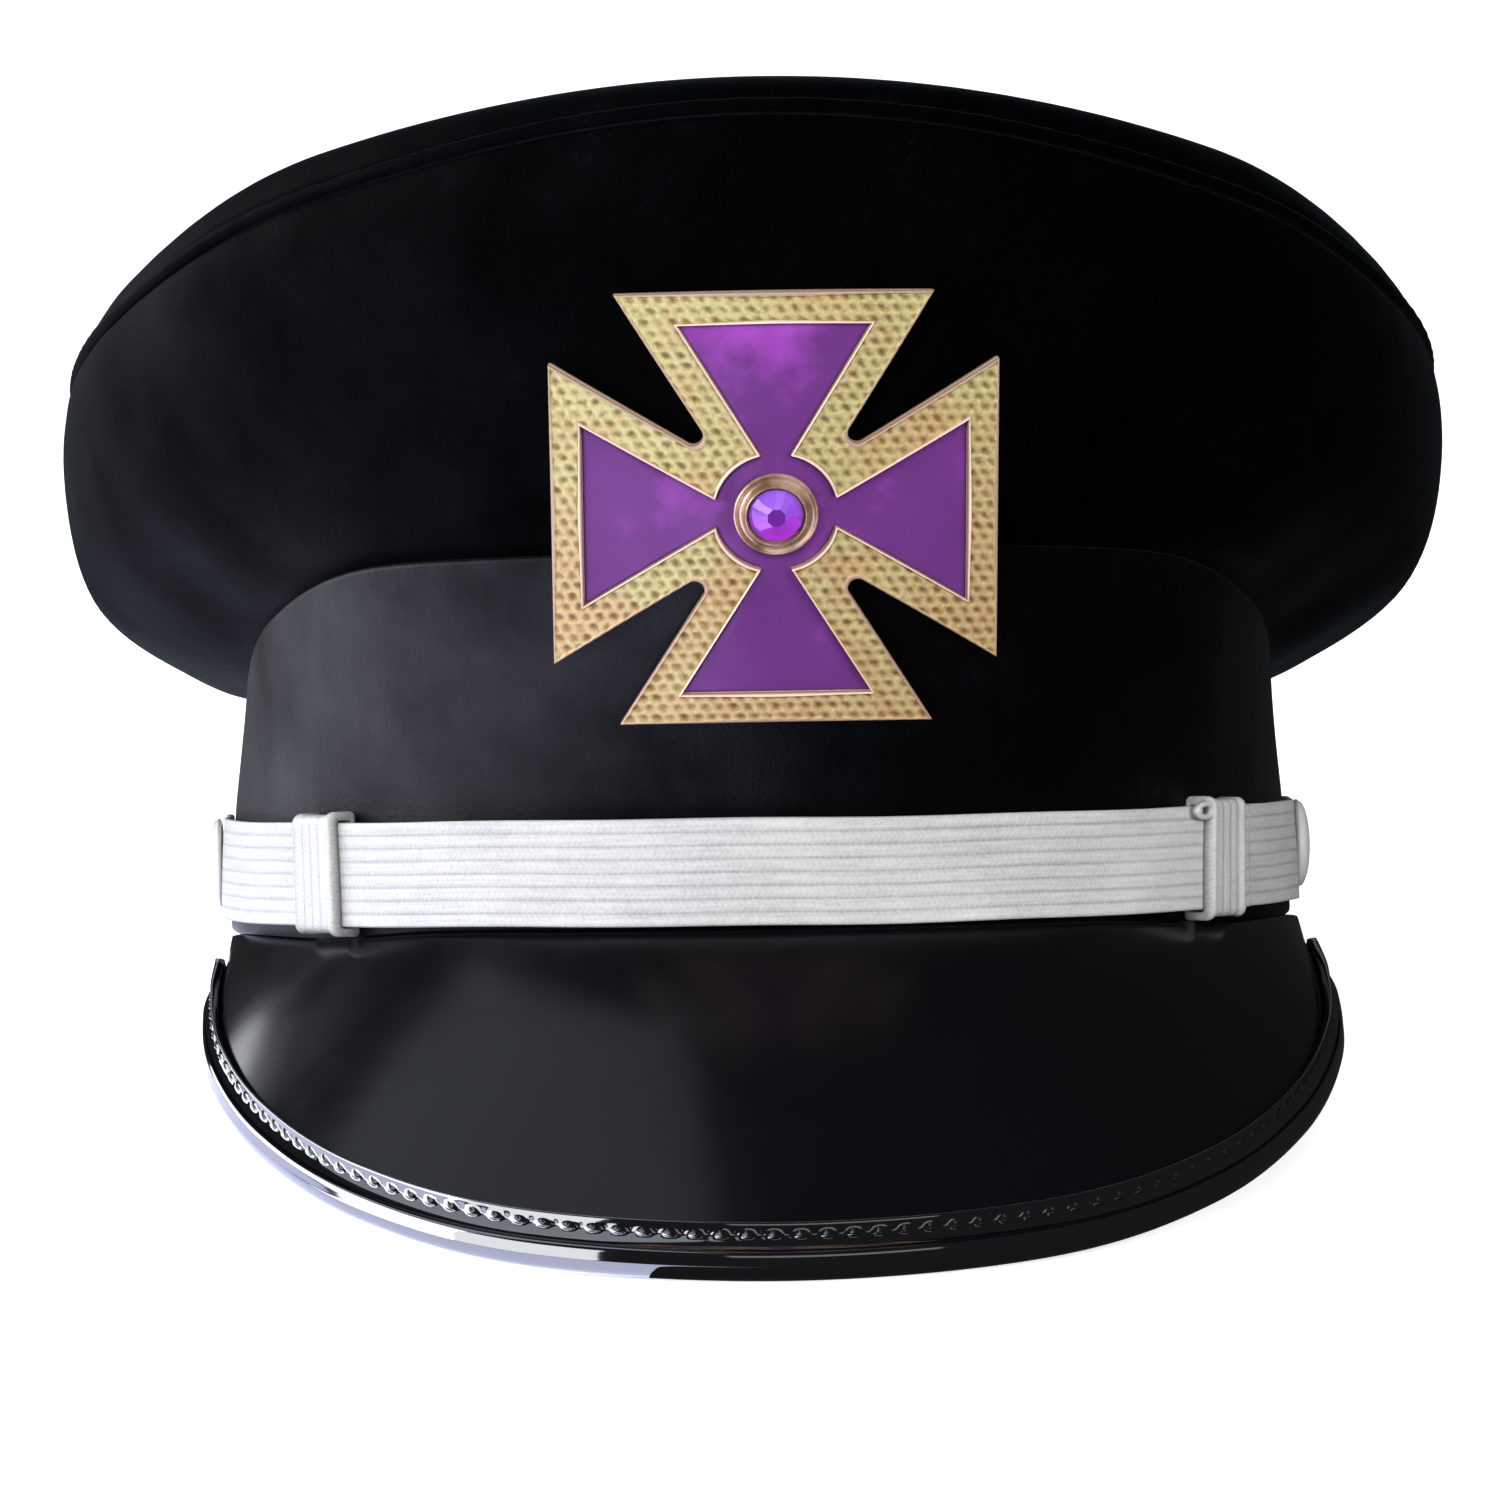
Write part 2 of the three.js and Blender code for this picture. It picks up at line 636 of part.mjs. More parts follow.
// The inlay's outline: four plain flared arms that run out of a round middle. "grow" widens it.
function inlayOutline(grow) {
  const middle = INLAY.middleRadius + grow;
  const turn = THREE.MathUtils.radToDeg(Math.asin((INLAY.neckHalf + grow) / middle));
  const end = INLAY.reach + grow;
  return fourTimes([
    new THREE.Vector2(-INLAY.endHalf - grow, end),
    new THREE.Vector2(INLAY.endHalf + grow, end),
    ...arcPoints(0, 0, middle, 90 - turn, turn, 6),
  ]);
}

function badgeBorderGeometry() {
  const shape = new THREE.Shape(crossOutline());
  shape.holes.push(new THREE.Path(inlayOutline(GAP / 2).reverse()));
  return bent(new THREE.ExtrudeGeometry(shape, { depth: BADGE.thickness, bevelEnabled: false }));
}

function badgeInlayGeometry() {
  const shape = new THREE.Shape(inlayOutline(-GAP / 2));
  return bent(new THREE.ExtrudeGeometry(shape, { depth: INLAY.thickness, bevelEnabled: false }));
}

// The setting is a shallow cup, and the stone lies in it: a table and a ring of facets.
function settingGeometry() {
  const profile = [
    [0, 0], [JEWEL.setting, 0], [JEWEL.setting, 1.2], [JEWEL.setting - 0.7, 1.9],
    [JEWEL.radius + GAP, 1.6], [JEWEL.radius + GAP, 0.6], [0, 0.6],
  ].map(([x, y]) => new THREE.Vector2(x, y));
  return new THREE.LatheGeometry(profile, 24);
}

function jewelGeometry() {
  const { radius } = JEWEL;
  const profile = [
    [0, 0], [radius - 0.2, 0], [radius, 0.5], [radius * 0.78, 1.3], [radius * 0.52, 1.8], [0, 1.8],
  ].map(([x, y]) => new THREE.Vector2(x, y));
  return new THREE.LatheGeometry(profile, 12);
}

function placeOnBadge(object, high) {
  const foot = badgePoint(0, 0, high);
  object.position.copy(foot);
  object.quaternion.setFromUnitVectors(
    new THREE.Vector3(0, 1, 0),
    badgePoint(0, 0, high + 1).sub(foot).normalize(),
  );
}

addPiece("badge_border", badgeBorderGeometry(), "gold");
addPiece("badge_inlay", badgeInlayGeometry(), "purple");
const settingHeight = INLAY.thickness + GAP;
placeOnBadge(addPiece("jewel_setting", settingGeometry(), "gold"), settingHeight);
placeOnBadge(addPiece("jewel", jewelGeometry(), "stone"), settingHeight + GAP + 0.6);

// Leans the cap back until its peak and the back of its band stand on one level.
function lowest(name, lean) {
  const place = cap.getObjectByName(name).geometry.attributes.position;
  let low = Infinity;
  for (let i = 0; i < place.count; i += 1) {
    low = Math.min(low, place.getZ(i) * Math.cos(lean) - place.getY(i) * Math.sin(lean));
  }
  return low;
}

let leanLow = 0;
let leanHigh = radians(20);
for (let i = 0; i < 40; i += 1) {
  const lean = (leanLow + leanHigh) / 2;
  if (lowest("visor_binding", lean) < lowest("band", lean)) leanLow = lean;
  else leanHigh = lean;
}
cap.rotation.x = -leanLow;
cap.position.z = -lowest("band", leanLow);

const model = new THREE.Group();
model.add(cap);
model.updateMatrixWorld(true);
const box = new THREE.Box3().setFromObject(model, true);
cap.position.x -= (box.min.x + box.max.x) / 2;
cap.position.y -= (box.min.y + box.max.y) / 2;

export default model;
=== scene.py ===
import json
import bmesh
import bpy
import numpy as np
from mathutils import Matrix, Vector


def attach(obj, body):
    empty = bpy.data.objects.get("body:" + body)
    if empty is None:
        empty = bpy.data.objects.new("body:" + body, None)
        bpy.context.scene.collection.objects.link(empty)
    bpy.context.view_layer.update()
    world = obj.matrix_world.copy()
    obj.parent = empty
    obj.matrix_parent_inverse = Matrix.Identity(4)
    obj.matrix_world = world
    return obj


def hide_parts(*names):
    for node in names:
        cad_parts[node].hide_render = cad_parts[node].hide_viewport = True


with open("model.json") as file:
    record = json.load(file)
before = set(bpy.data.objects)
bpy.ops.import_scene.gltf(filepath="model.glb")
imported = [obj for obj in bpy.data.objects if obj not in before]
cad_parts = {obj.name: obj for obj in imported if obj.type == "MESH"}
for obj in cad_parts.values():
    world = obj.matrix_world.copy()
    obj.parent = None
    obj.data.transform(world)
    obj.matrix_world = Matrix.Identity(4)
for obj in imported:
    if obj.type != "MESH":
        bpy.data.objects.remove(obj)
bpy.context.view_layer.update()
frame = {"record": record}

# The cap stands by itself, leant back on its peak's edge and the back of its band. Sizes in this
# file are millimetres in the cap's own upright frame: z = 0 is the plane of the band's lower edge,
# and the front is -Y. The lean and the seat come from the flat rim that the frame records.
RIM_POINT = np.array([82.925, -4.05, 0.0])
MM = 0.001
rim = frame["record"]["mounts"][0]
lean_sin, lean_cos = -rim["axis"][1], -rim["axis"][2]


def leant(points):
    """Turns points back about X by the lean: Y = y cos + z sin, and Z = z cos - y sin."""
    x, y, z = np.moveaxis(np.asarray(points, float), -1, 0)
    return np.stack([x, y * lean_cos + z * lean_sin, z * lean_cos - y * lean_sin], -1)


seat = np.array(rim["pos_m"]) / MM - leant(RIM_POINT)


def stood(points):
    """Places points of the upright cap where it stands, in metres: leant, and moved to its seat."""
    return (leant(points) + seat) * MM


# The camera stands in front of the cap and a little to the viewer's left, level with the band as the
# cap leans, and it is turned by a degree, as the picture is.
PICTURE_PIXELS = 1501
PIXELS_PER_RADIAN = 5490
SENSOR_WIDTH = 36.0
CAMERA = {"aim": (-1.0, 0.0, 27.2), "azimuth": -1.5, "elevation": 1.0, "distance": 900.0, "roll": 1.0}


def camera_axes(azimuth, elevation, roll):
    """The camera's right, up and back: back points at it from its aim, and roll turns the others."""
    a, e, r = np.radians([azimuth, elevation, roll])
    back = np.array([np.sin(a) * np.cos(e), -np.cos(a) * np.cos(e), np.sin(e)])
    right = np.array([np.cos(a), np.sin(a), 0.0])
    up = np.cross(back, right)
    return right * np.cos(r) - up * np.sin(r), right * np.sin(r) + up * np.cos(r), back


axes = camera_axes(CAMERA["azimuth"], CAMERA["elevation"], CAMERA["roll"])
camera_data = bpy.data.cameras.new("camera")
camera_data.sensor_width = SENSOR_WIDTH
camera_data.lens = SENSOR_WIDTH * PIXELS_PER_RADIAN / PICTURE_PIXELS
camera = bpy.data.objects.new("camera", camera_data)
bpy.context.scene.collection.objects.link(camera)
camera_place = stood(np.array(CAMERA["aim"]) + CAMERA["distance"] * axes[2])
turned_axes = np.stack([leant(axis) for axis in axes], 1)
camera.matrix_world = Matrix.LocRotScale(Vector(camera_place), Matrix(turned_axes).to_quaternion(), None)
bpy.context.scene.camera = camera

# The floor is a glowing white sheet that runs up behind the cap in a wide curve. Bright panels low at
# the viewer's left draw the highlights on the band and the peak's edge, the peak mirrors a dim one
# overhead and its rim a card on the floor, and the gold mirrors one in front. Soft boxes that no
# gloss mirrors light the braid and the badge.
FLOOR = {"front": -3.0, "bend": 1.3, "radius": 0.9, "top": 3.2, "half_width": 3.5}
FLOOR_WHITE = (0.85, 0.85, 0.85)
FLOOR_GLOW = 0.62
WORLD_LIGHT = 0.035


def put_mesh(name, points, faces, smooth=True):
    """Makes a mesh object at the origin from points in metres and faces of their indices."""
    mesh = bpy.data.meshes.new(name)
    mesh.from_pydata(points.tolist(), [], faces.tolist())
    mesh.polygons.foreach_set("use_smooth", np.full(len(mesh.polygons), smooth))
    made = bpy.data.objects.new(name, mesh)
    bpy.context.scene.collection.objects.link(made)
    return made


def grid_faces(rows, columns, wrap_rows=False, wrap_columns=False):
    """Four neighbours of a grid make a face. A wrapped way joins its last row to its first."""
    i = np.arange(rows if wrap_rows else rows - 1)[:, None]
    j = np.arange(columns if wrap_columns else columns - 1)[None, :]
    after_i, after_j = (i + 1) % rows, (j + 1) % columns
    corners = [i * columns + j, i * columns + after_j, after_i * columns + after_j, after_i * columns + j]
    return np.stack(np.broadcast_arrays(*corners), -1).reshape(-1, 4)


def arc_line(centre, radius, start, end, count):
    """Points of an arc between two angles in degrees, from its centre by cosine and sine."""
    turn = np.radians(np.linspace(start, end, count))
    return centre + radius * np.stack([np.cos(turn), np.sin(turn)], -1)


def floor_grid():
    """A line along the floor, a quarter circle and a line up, drawn out to both sides."""
    bend = arc_line([FLOOR["bend"], FLOOR["radius"]], FLOOR["radius"], -90, 0, 33)
    line = np.vstack([[FLOOR["front"], 0], bend, [bend[-1, 0], FLOOR["top"]]])
    sides = np.array([-1, 1]) * FLOOR["half_width"]
    return np.stack([np.stack([np.full(len(line), s), line[:, 0], line[:, 1]], -1) for s in sides], 1)


def plain_material(name, colour, **values):
    """A new material, its node tree and its shader, with the values that are the same all over. An
    underscore in a value's name stands for a space."""
    material = bpy.data.materials.new(name)
    material.use_nodes = True
    shader = material.node_tree.nodes["Principled BSDF"]
    shader.inputs["Base Color"].default_value = (*colour, 1)
    for key, value in values.items():
        shader.inputs[key.replace("_", " ")].default_value = value
    return material, material.node_tree, shader


grid = floor_grid()
sheet = put_mesh("floor", grid.reshape(-1, 3), grid_faces(*grid.shape[:2]))
sheet.data.materials.append(plain_material(
    "white_sheet", FLOOR_WHITE, Roughness=0.9, Emission_Color=(1, 1, 1, 1), Emission_Strength=FLOOR_GLOW)[0])
sheet.visible_glossy = sheet.visible_diffuse = False


def area_light(name, place, size, power, colour, mirrored=True, aim=(0, 0, 0.08)):
    """A soft box in metres that looks at the middle of the cap, or at another aim."""
    lamp = bpy.data.lights.new(name, "AREA")
    lamp.shape, lamp.size, lamp.size_y = "RECTANGLE", *size
    lamp.energy, lamp.color = power, colour
    made = bpy.data.objects.new(name, lamp)
    bpy.context.scene.collection.objects.link(made)
    made.location = place
    made.rotation_euler = (Vector(aim) - made.location).to_track_quat("-Z", "Y").to_euler()
    made.visible_glossy = mirrored
    made.visible_camera = False
    return made


area_light("side_panel", (-1.05, 0.15, 0.30), (1.6, 0.60), 22, (0.90, 0.94, 1.0))
area_light("long_strip", (-0.85, -0.80, 0.24), (0.8, 0.40), 5, (0.93, 0.96, 1.0))
area_light("dim_panel", (-0.75, -0.1, 1.0), (1.0, 1.4), 5.2, (0.80, 0.90, 1.0))
area_light("gold_panel", (0.25, -1.8, 0.75), (1.2, 0.5), 1.6, (1.0, 0.98, 0.95))
floor_card = area_light("floor_card", (-0.23, -0.15, 0.0006), (0.42, 0.5), 2.3, (0.70, 0.74, 1.0),
                        aim=(-0.23, -0.15, 1.0))
floor_card.visible_diffuse = False
area_light("front_key", (-0.6, -1.9, 0.9), (1.6, 1.2), 52, (1, 1, 1), mirrored=False)
area_light("right_fill", (1.3, -1.2, 0.5), (1.0, 1.0), 34, (1, 1, 1), mirrored=False)
area_light("floor_wash", (0, -0.3, 2.4), (3, 3), 20, (1, 1, 1), mirrored=False)
world = bpy.data.worlds.new("studio")
bpy.context.scene.world = world
world.use_nodes = True
world.node_tree.nodes["Background"].inputs["Color"].default_value = (1, 1, 1, 1)
world.node_tree.nodes["Background"].inputs["Strength"].default_value = WORLD_LIGHT
bpy.context.scene.view_settings.view_transform = "Standard"

# The band is the stiff wall that sits round the head: buckram covered in black napped wool, turned
# over at the top in a soft rolled lip. A rebate inside the lip takes the foot of the crown.
OVAL = {"half_width": 86, "front": 102, "back": 103, "squareness": 2.15}
BAND = {"wall": 4.4, "mid_height": 20, "lip": 1.8, "rebate": 7, "round_top": 0.9}
AROUND = 480
RIPPLES = {
    "band_top": {"seed": 3, "waves": (5, 9, 14), "height": 0.22},
    "band_face": {"seed": 4, "waves": (4, 7, 11), "height": 0.25},
    "crown_folds": {"seed": 11, "waves": (8, 13, 21, 29), "height": 0.55},
    "crown_swell": {"seed": 17, "waves": (3, 5, 8), "height": 0.6}}
SECTION_COLUMNS = (
    "angle mid_out top_out top_z under_out under_z flank_out flank_z "
    "bulge_out bulge_z seam_out seam_z crest_out crest_z").split()
SECTIONS = np.array([
    [0, 1.5, 15.5, 57.5, 19, 67, 25, 86, 29.5, 105, 29.5, 119.8, 23.5, 124.3],
    [35, 1.0, 9.5, 57.0, 13.5, 65, 20.8, 79, 26.2, 97, 26.6, 109.3, 22, 115.8],
    [60, -0.2, 1.5, 49.0, 8.2, 56, 19.8, 66, 25.2, 83, 24.6, 96, 19.5, 103],
    [80, -1.0, -3.0, 38.6, 6, 44.6, 20.8, 56, 25.4, 74, 23.5, 87, 18, 94.5],
    [100, -1.2, -3.7, 34.8, 6, 40, 21.2, 50.5, 25.8, 68, 23.5, 80, 18, 87],
    [140, -1.0, -3.5, 33.5, 8.2, 39, 24.2, 49, 29.0, 61.5, 26.0, 71, 20, 76.5],
    [180, -1.0, -3.0, 33.0, 9.0, 39, 25.5, 48, 30.5, 58, 27.0, 66.5, 20.5, 71.5]])


def smooth_step(value, low, high):
    """Rises from 0 at low to 1 at high, level at both ends: 3 s^2 - 2 s^3."""
    s = np.clip((value - low) / (high - low), 0, 1)
    return s * s * (3 - 2 * s)


def section(name, angle):
    """A column of the table at angles from the front: between two rows a cubic, whose slope at a row
    is that of the line through the row's neighbours, and level at the front and the back."""
    at, value = SECTIONS[:, 0], SECTIONS[:, SECTION_COLUMNS.index(name)]
    turned = np.abs((np.asarray(angle, float) + 540) % 360 - 180)
    slope = np.zeros(len(at))
    slope[1:-1] = (value[2:] - value[:-2]) / (at[2:] - at[:-2])
    i = np.clip(np.searchsorted(at, turned) - 1, 0, len(at) - 2)
    span = at[i + 1] - at[i]
    s = (turned - at[i]) / span
    start = value[i] * (2 * s**3 - 3 * s**2 + 1) + slope[i] * span * (s**3 - 2 * s**2 + s)
    return start + value[i + 1] * (3 * s**2 - 2 * s**3) + slope[i + 1] * span * (s**3 - s**2)


def oval(angle):
    """The band's lower edge: x = w sin^p and y = -r cos^p with the power p = 2 / squareness."""
    s, c = np.sin(np.radians(angle)), np.cos(np.radians(angle))
    power = 2 / OVAL["squareness"]
    reach = np.where(c > 0, OVAL["front"], OVAL["back"])
    return np.stack([OVAL["half_width"] * np.sign(s) * np.abs(s)**power,
                     -reach * np.sign(c) * np.abs(c)**power], -1)


def unit(vectors):
    """Each vector divided by its own length."""
    return vectors / np.linalg.norm(vectors, axis=-1, keepdims=True)


def length_along(points):
    """The length walked from the first of some points to each of them."""
    return np.concatenate([[0], np.cumsum(np.linalg.norm(np.diff(points, axis=0), axis=1))])


def outside(angle, out, z):
    """A point at an angle, so far outside that oval along its normal, and at a height."""
    angle, out, z = np.broadcast_arrays(np.asarray(angle, float), out, z)
    along = unit(oval(angle + 0.5) - oval(angle - 0.5))
    level = oval(angle) + np.stack([along[..., 1], -along[..., 0]], -1) * out[..., None]
    return np.concatenate([level, z[..., None]], -1)


def band_out(angle, z):
    """How far the band's face stands out at a height: mid (z / h)^1.5 up to its middle height h, and
    above it a line of that slope, bent by the power 1.25 until it meets the top."""
    top, mid, h = section("top_z", angle), section("mid_out", angle), BAND["mid_height"]
    low = mid * np.clip(z / h, 0, 1)**1.5
    rise = np.clip((z - h) / (top - h), 0, None)
    lean = 1.5 * mid * (top - h) / h
    return np.where(z <= h, low, mid + lean * rise + (section("top_out", angle) - mid - lean) * rise**1.25)


def node(tree, kind, settings=None, **inputs):
    """Adds a shader node. A socket among the inputs is linked, and a value is set."""
    made = tree.nodes.new("ShaderNode" + kind)
    for key, value in (settings or {}).items():
        setattr(made, key, value)
    for key, value in inputs.items():
        socket = made.inputs[int(key[1:]) if key[0] == "_" else key.replace("_", " ")]
        if isinstance(value, bpy.types.NodeSocket):
            tree.links.new(value, socket)
        else:
            socket.default_value = value
    return made


def math(tree, operation, *values):
    """One sum of a material: its operation and its values or sockets, in order."""
    inputs = {f"_{i}": value for i, value in enumerate(values)}
    return node(tree, "Math", {"operation": operation}, **inputs).outputs[0]


def shade(tree, factor, *stops):
    """A colour ramp over a factor, from pairs of a place and a colour."""
    ramp = node(tree, "ValToRGB", Fac=factor)
    elements = ramp.color_ramp.elements
    for i, (place, colour) in enumerate(stops):
        stop = elements[i] if i < 2 else elements.new(place)
        stop.position, stop.color = place, (*colour, 1)
    return ramp.outputs["Color"]


def paint(tree, shader, colour):
    """Gives the shader a colour that changes over its piece."""
    tree.links.new(colour, shader.inputs["Base Color"])


def bump(tree, shader, height, strength, distance):
    """Turns a height into the shader's normal, with its depth in millimetres."""
    made = node(tree, "Bump", Height=height, Strength=strength, Distance=distance * MM)
    tree.links.new(made.outputs["Normal"], shader.inputs["Normal"])


def object_place(tree):
    """A point's place in its own piece, in metres."""
    return node(tree, "TexCoord").outputs["Object"]


def noise(tree, scale, detail, place=None, **more):
    """A noise over the piece's own place, or over another vector."""
    vector = object_place(tree) if place is None else place
    return node(tree, "TexNoise", Vector=vector, Scale=scale, Detail=detail, **more).outputs["Fac"]


def weighed(tree, *shares):
    """The sum of sockets, each times its own share."""
    parts = [math(tree, "MULTIPLY", value, share) for value, share in shares]
    total = parts[0]
    for part in parts[1:]:
        total = math(tree, "ADD", total, part)
    return total


WOOL_STOPS = {0.38: (0.0003, 0.0003, 0.0005), 0.58: (0.0012, 0.0013, 0.0019), 0.72: (0.007, 0.008, 0.011)}


def wool_material(name, gloss, roughness, light):
    """Black napped wool: fine matted fibres, and a soft gloss where the nap is brushed aside."""
    material, tree, shader = plain_material(name, WOOL_STOPS[0.58], Roughness=roughness, Sheen_Weight=0.02,
                                            Sheen_Roughness=0.3, Sheen_Tint=(0.7, 0.9, 1.0, 1))
    fibre = noise(tree, 1300, 4, Roughness=0.7, Distortion=0.3)
    matted = noise(tree, 260, 4, Roughness=0.65)
    brushed = noise(tree, 42, 5, Roughness=0.6)
    mixed = weighed(tree, (fibre, 0.5), (matted, 0.2), (brushed, 0.3))
    stops = [(stop, tuple(light * c for c in colour)) for stop, colour in WOOL_STOPS.items()]
    paint(tree, shader, shade(tree, mixed, *stops))
    shine = node(tree, "MapRange", Value=brushed, _1=0.3, _2=0.7, _3=0.5 * gloss, _4=1.6 * gloss)
    tree.links.new(shine.outputs[0], shader.inputs["Specular IOR Level"])
    bump(tree, shader, weighed(tree, (fibre, 1), (matted, 0.8)), 0.5, 0.22)
    return material


wool = wool_material("band_wool", 0.13, 0.5, 0.5)


def skin(grid, wrap_rows=True, wrap_columns=True):
    """The points and the faces of a grid of points. A closed section wraps its rows."""
    return grid.reshape(-1, 3), grid_faces(*grid.shape[:2], wrap_rows, wrap_columns)


def finish_piece(name, shape, material, replaces, corner_uv=None, masks=None):
    """Stands a closed shape in the frame: faces turned out, doubled points merged, material and ride. The
    sign of the sum of a . (b x c) over its faces says which way they point."""
    points, faces = shape
    a, b, c, d = (points[faces[:, k]] for k in range(4))
    volume = np.sum(a * np.cross(b, c)) + np.sum(a * np.cross(c, d))
    if volume < 0:
        faces = faces[:, ::-1]
        corner_uv = None if corner_uv is None else corner_uv[:, ::-1]
    piece = put_mesh(name, stood(points), faces)
    mesh = piece.data
    if corner_uv is not None:
        mesh.uv_layers.new(name="weave").data.foreach_set("uv", corner_uv.reshape(-1).astype(np.float32))
    for key, values in (masks or {}).items():
        mesh.attributes.new(key, "FLOAT", "POINT").data.foreach_set("value", values.astype(np.float32))
    work = bmesh.new()
    work.from_mesh(mesh)
    bmesh.ops.remove_doubles(work, verts=work.verts, dist=1e-6)
    work.to_mesh(mesh)
    work.free()
    mesh.materials.append(material)
    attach(piece, "root")
    if replaces:
        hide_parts(*replaces)


round_angles = np.arange(AROUND) * 360 / AROUND
band_top = section("top_z", round_angles)


def cloth_ripple(seed, waves, height):
    """A slow unevenness round the cap: a few sine waves of seeded phase, each weaker than the last."""
    rng = np.random.default_rng(seed)
    phases, weights = rng.uniform(0, 2 * np.pi, len(waves)), 1 / np.arange(1, len(waves) + 1)
    turn = np.radians(round_angles)
    return height * sum(w * np.sin(n * turn + p) for n, w, p in zip(waves, weights, phases))


def band_rings():
    """The band's section, from its lower edge up its face, over a half round lip and down inside."""
    top = band_top + cloth_ripple(**RIPPLES["band_top"])
    wave = cloth_ripple(**RIPPLES["band_face"])
    ring = lambda inset, z: outside(round_angles, band_out(round_angles, z) - inset, z)
    rounded = BAND["lip"] / 2
    rings = [ring(0.5, 0.0), ring(0.1, 0.35), ring(0.0, 1.0)]
    rings += [ring(-wave * np.sin(np.pi * s), (top - rounded) * s) for s in np.linspace(0.06, 1, 30)]
    turns = np.linspace(0, np.pi, 11)[1:]
    rings += [ring(rounded * (1 - np.cos(t)), top - rounded + rounded * np.sin(t)) for t in turns]
    rings += [ring(BAND["lip"], top - BAND["rebate"]), ring(BAND["wall"], top - BAND["rebate"])]
    rings += [ring(BAND["wall"], (top - BAND["rebate"]) * s) for s in (0.8, 0.6, 0.4, 0.2, 0.03)]
    return rings + [ring(BAND["wall"] - 0.5, 0.0)]


finish_piece("band_wool", skin(np.stack(band_rings())), wool, ["band"])

# The crown is a duller wool over a light stiffening, its colour scaled darker than the band's as painted
# shade: a side panel that rises out of the band and swells over it, sewn with a corded welt to the top
# panel, which rolls in over a hidden hoop.
crown_wool_painted_shade = wool_material("crown_wool_painted_shade", 0.016, 0.66, 0.35)
CLOTH = 2.2
WELT_RADIUS = 1.05
SEAM_GAP = 0.3
CROWN_CENTRE = np.array([0, 2.0, 99.0])
SLOUCH = 0.007
SEAM_SHARE = 4 / 7
ROLL = {"reach": 0.86, "share": 6 / 7}


def through_points(points, share, chord_power=0.25):
    """Smooth curves through rows of points, each at its own shares of the way. A span is a cubic whose
    end slopes weigh the neighbouring spans by their squared lengths to a power, so it never loops."""
    before = 2 * points[..., :1, :] - points[..., 1:2, :]
    after = 2 * points[..., -1:, :] - points[..., -2:-1, :]
    padded = np.concatenate([before, points, after], -2)
    place = np.broadcast_to(share, (len(points), np.shape(share)[-1])) * (points.shape[-2] - 1)
    i = np.clip(np.floor(place).astype(int), 0, points.shape[-2] - 2)
    w = (place - i)[..., None]
    p0, p1, p2, p3 = (np.take_along_axis(padded, (i + k)[..., None], 1) for k in range(4))
    spans = ((p0, p1), (p1, p2), (p2, p3))
    d0, d1, d2 = (np.sum((b - a)**2, -1, keepdims=True)**chord_power for a, b in spans)
    t1 = ((p1 - p0) / d0 - (p2 - p0) / (d0 + d1) + (p2 - p1) / d1) * d1
    t2 = ((p2 - p1) / d1 - (p3 - p1) / (d1 + d2) + (p3 - p2) / d2) * d1
    return p1 + t1 * w + (3 * (p2 - p1) - 2 * t1 - t2) * w**2 + (2 * (p1 - p2) + t1 + t2) * w**3


def crown_point(out, z):
    """A point of the crown all round, sunk a little towards the viewer's right."""
    p = outside(round_angles, out, z)
    p[:, 2] -= SLOUCH * p[:, 0] * smooth_step(z - band_top, 8, 40)
    return p


def top_point(share):
    """The crown's top on a line from its middle, at share 0, to its crest, at share 1: a bowl."""
    crest = crown_point(section("crest_out", round_angles), section("crest_z", round_angles))
    tilt = (section("crest_z", 0) - section("crest_z", 180)) / 2 * np.cos(np.radians(round_angles))
    level = CROWN_CENTRE[:2] + (crest[:, :2] - [0, CROWN_CENTRE[1]]) * share
    rise = CROWN_CENTRE[2] + tilt * share + (crest[:, 2] - CROWN_CENTRE[2] - tilt) * share**2
    return np.concatenate([level, rise[:, None]], 1)


def named_line(*names):
    """The crown's points all round at each of the named columns of the table."""
    return [crown_point(section(n + "_out", round_angles), section(n + "_z", round_angles)) for n in names]


foot_out = section("top_out", round_angles) - BAND["lip"] - SEAM_GAP
crown_knots = np.stack([
    crown_point(foot_out, band_top + SEAM_GAP),
    *named_line("under", "flank", "bulge", "seam", "crest"), top_point(ROLL["reach"]), top_point(0.6)], 1)


def seam_speed(step):
    """Millimetres for each share of the curve, just before or just after the seam."""
    beside = through_points(crown_knots, [SEAM_SHARE, SEAM_SHARE + step])
    return np.linalg.norm(beside[:, 1] - beside[:, 0], axis=-1) / abs(step)


speed_before, speed_after = seam_speed(-1e-3), seam_speed(1e-3)


def seam_share(offset):
    """The share of the curve at so many millimetres before or after the seam, at every angle."""
    return SEAM_SHARE + offset / (speed_before if offset < 0 else speed_after)


def crown_ring(shares):
    """The crown's points all round at a share of the curve for each angle."""
    return through_points(crown_knots, np.asarray(shares)[:, None])[:, 0]


def ring_normals(rings):
    """The outward direction at each point of a grid of rings: the cross product of its two ways."""
    grid = np.stack(rings)
    along = np.gradient(grid, axis=0)
    round_way = np.roll(grid, -1, 1) - np.roll(grid, 1, 1)
    return unit(np.cross(round_way, along))


def puckers(count, seed):
    """Small gathers along a seam: cosine waves whose pitch wanders with a slow seeded ripple."""
    turn = np.radians(round_angles) + cloth_ripple(seed, (3, 7, 11), 0.05)
    return np.cos(count * turn)


GATHERS = {"count": 64, "seed": 5, "height": 0.04}
SEAM_EDGE = {"from": 1.2, "fade": 0.5, "sink": 0.7}
SEAM_ZONE = 4.5
SIDE_LENGTH = 90
seam_steps = np.array([1.2, 1.3, 1.45, 1.7, 2.1, 2.6, 3.2, 3.8, SEAM_ZONE])


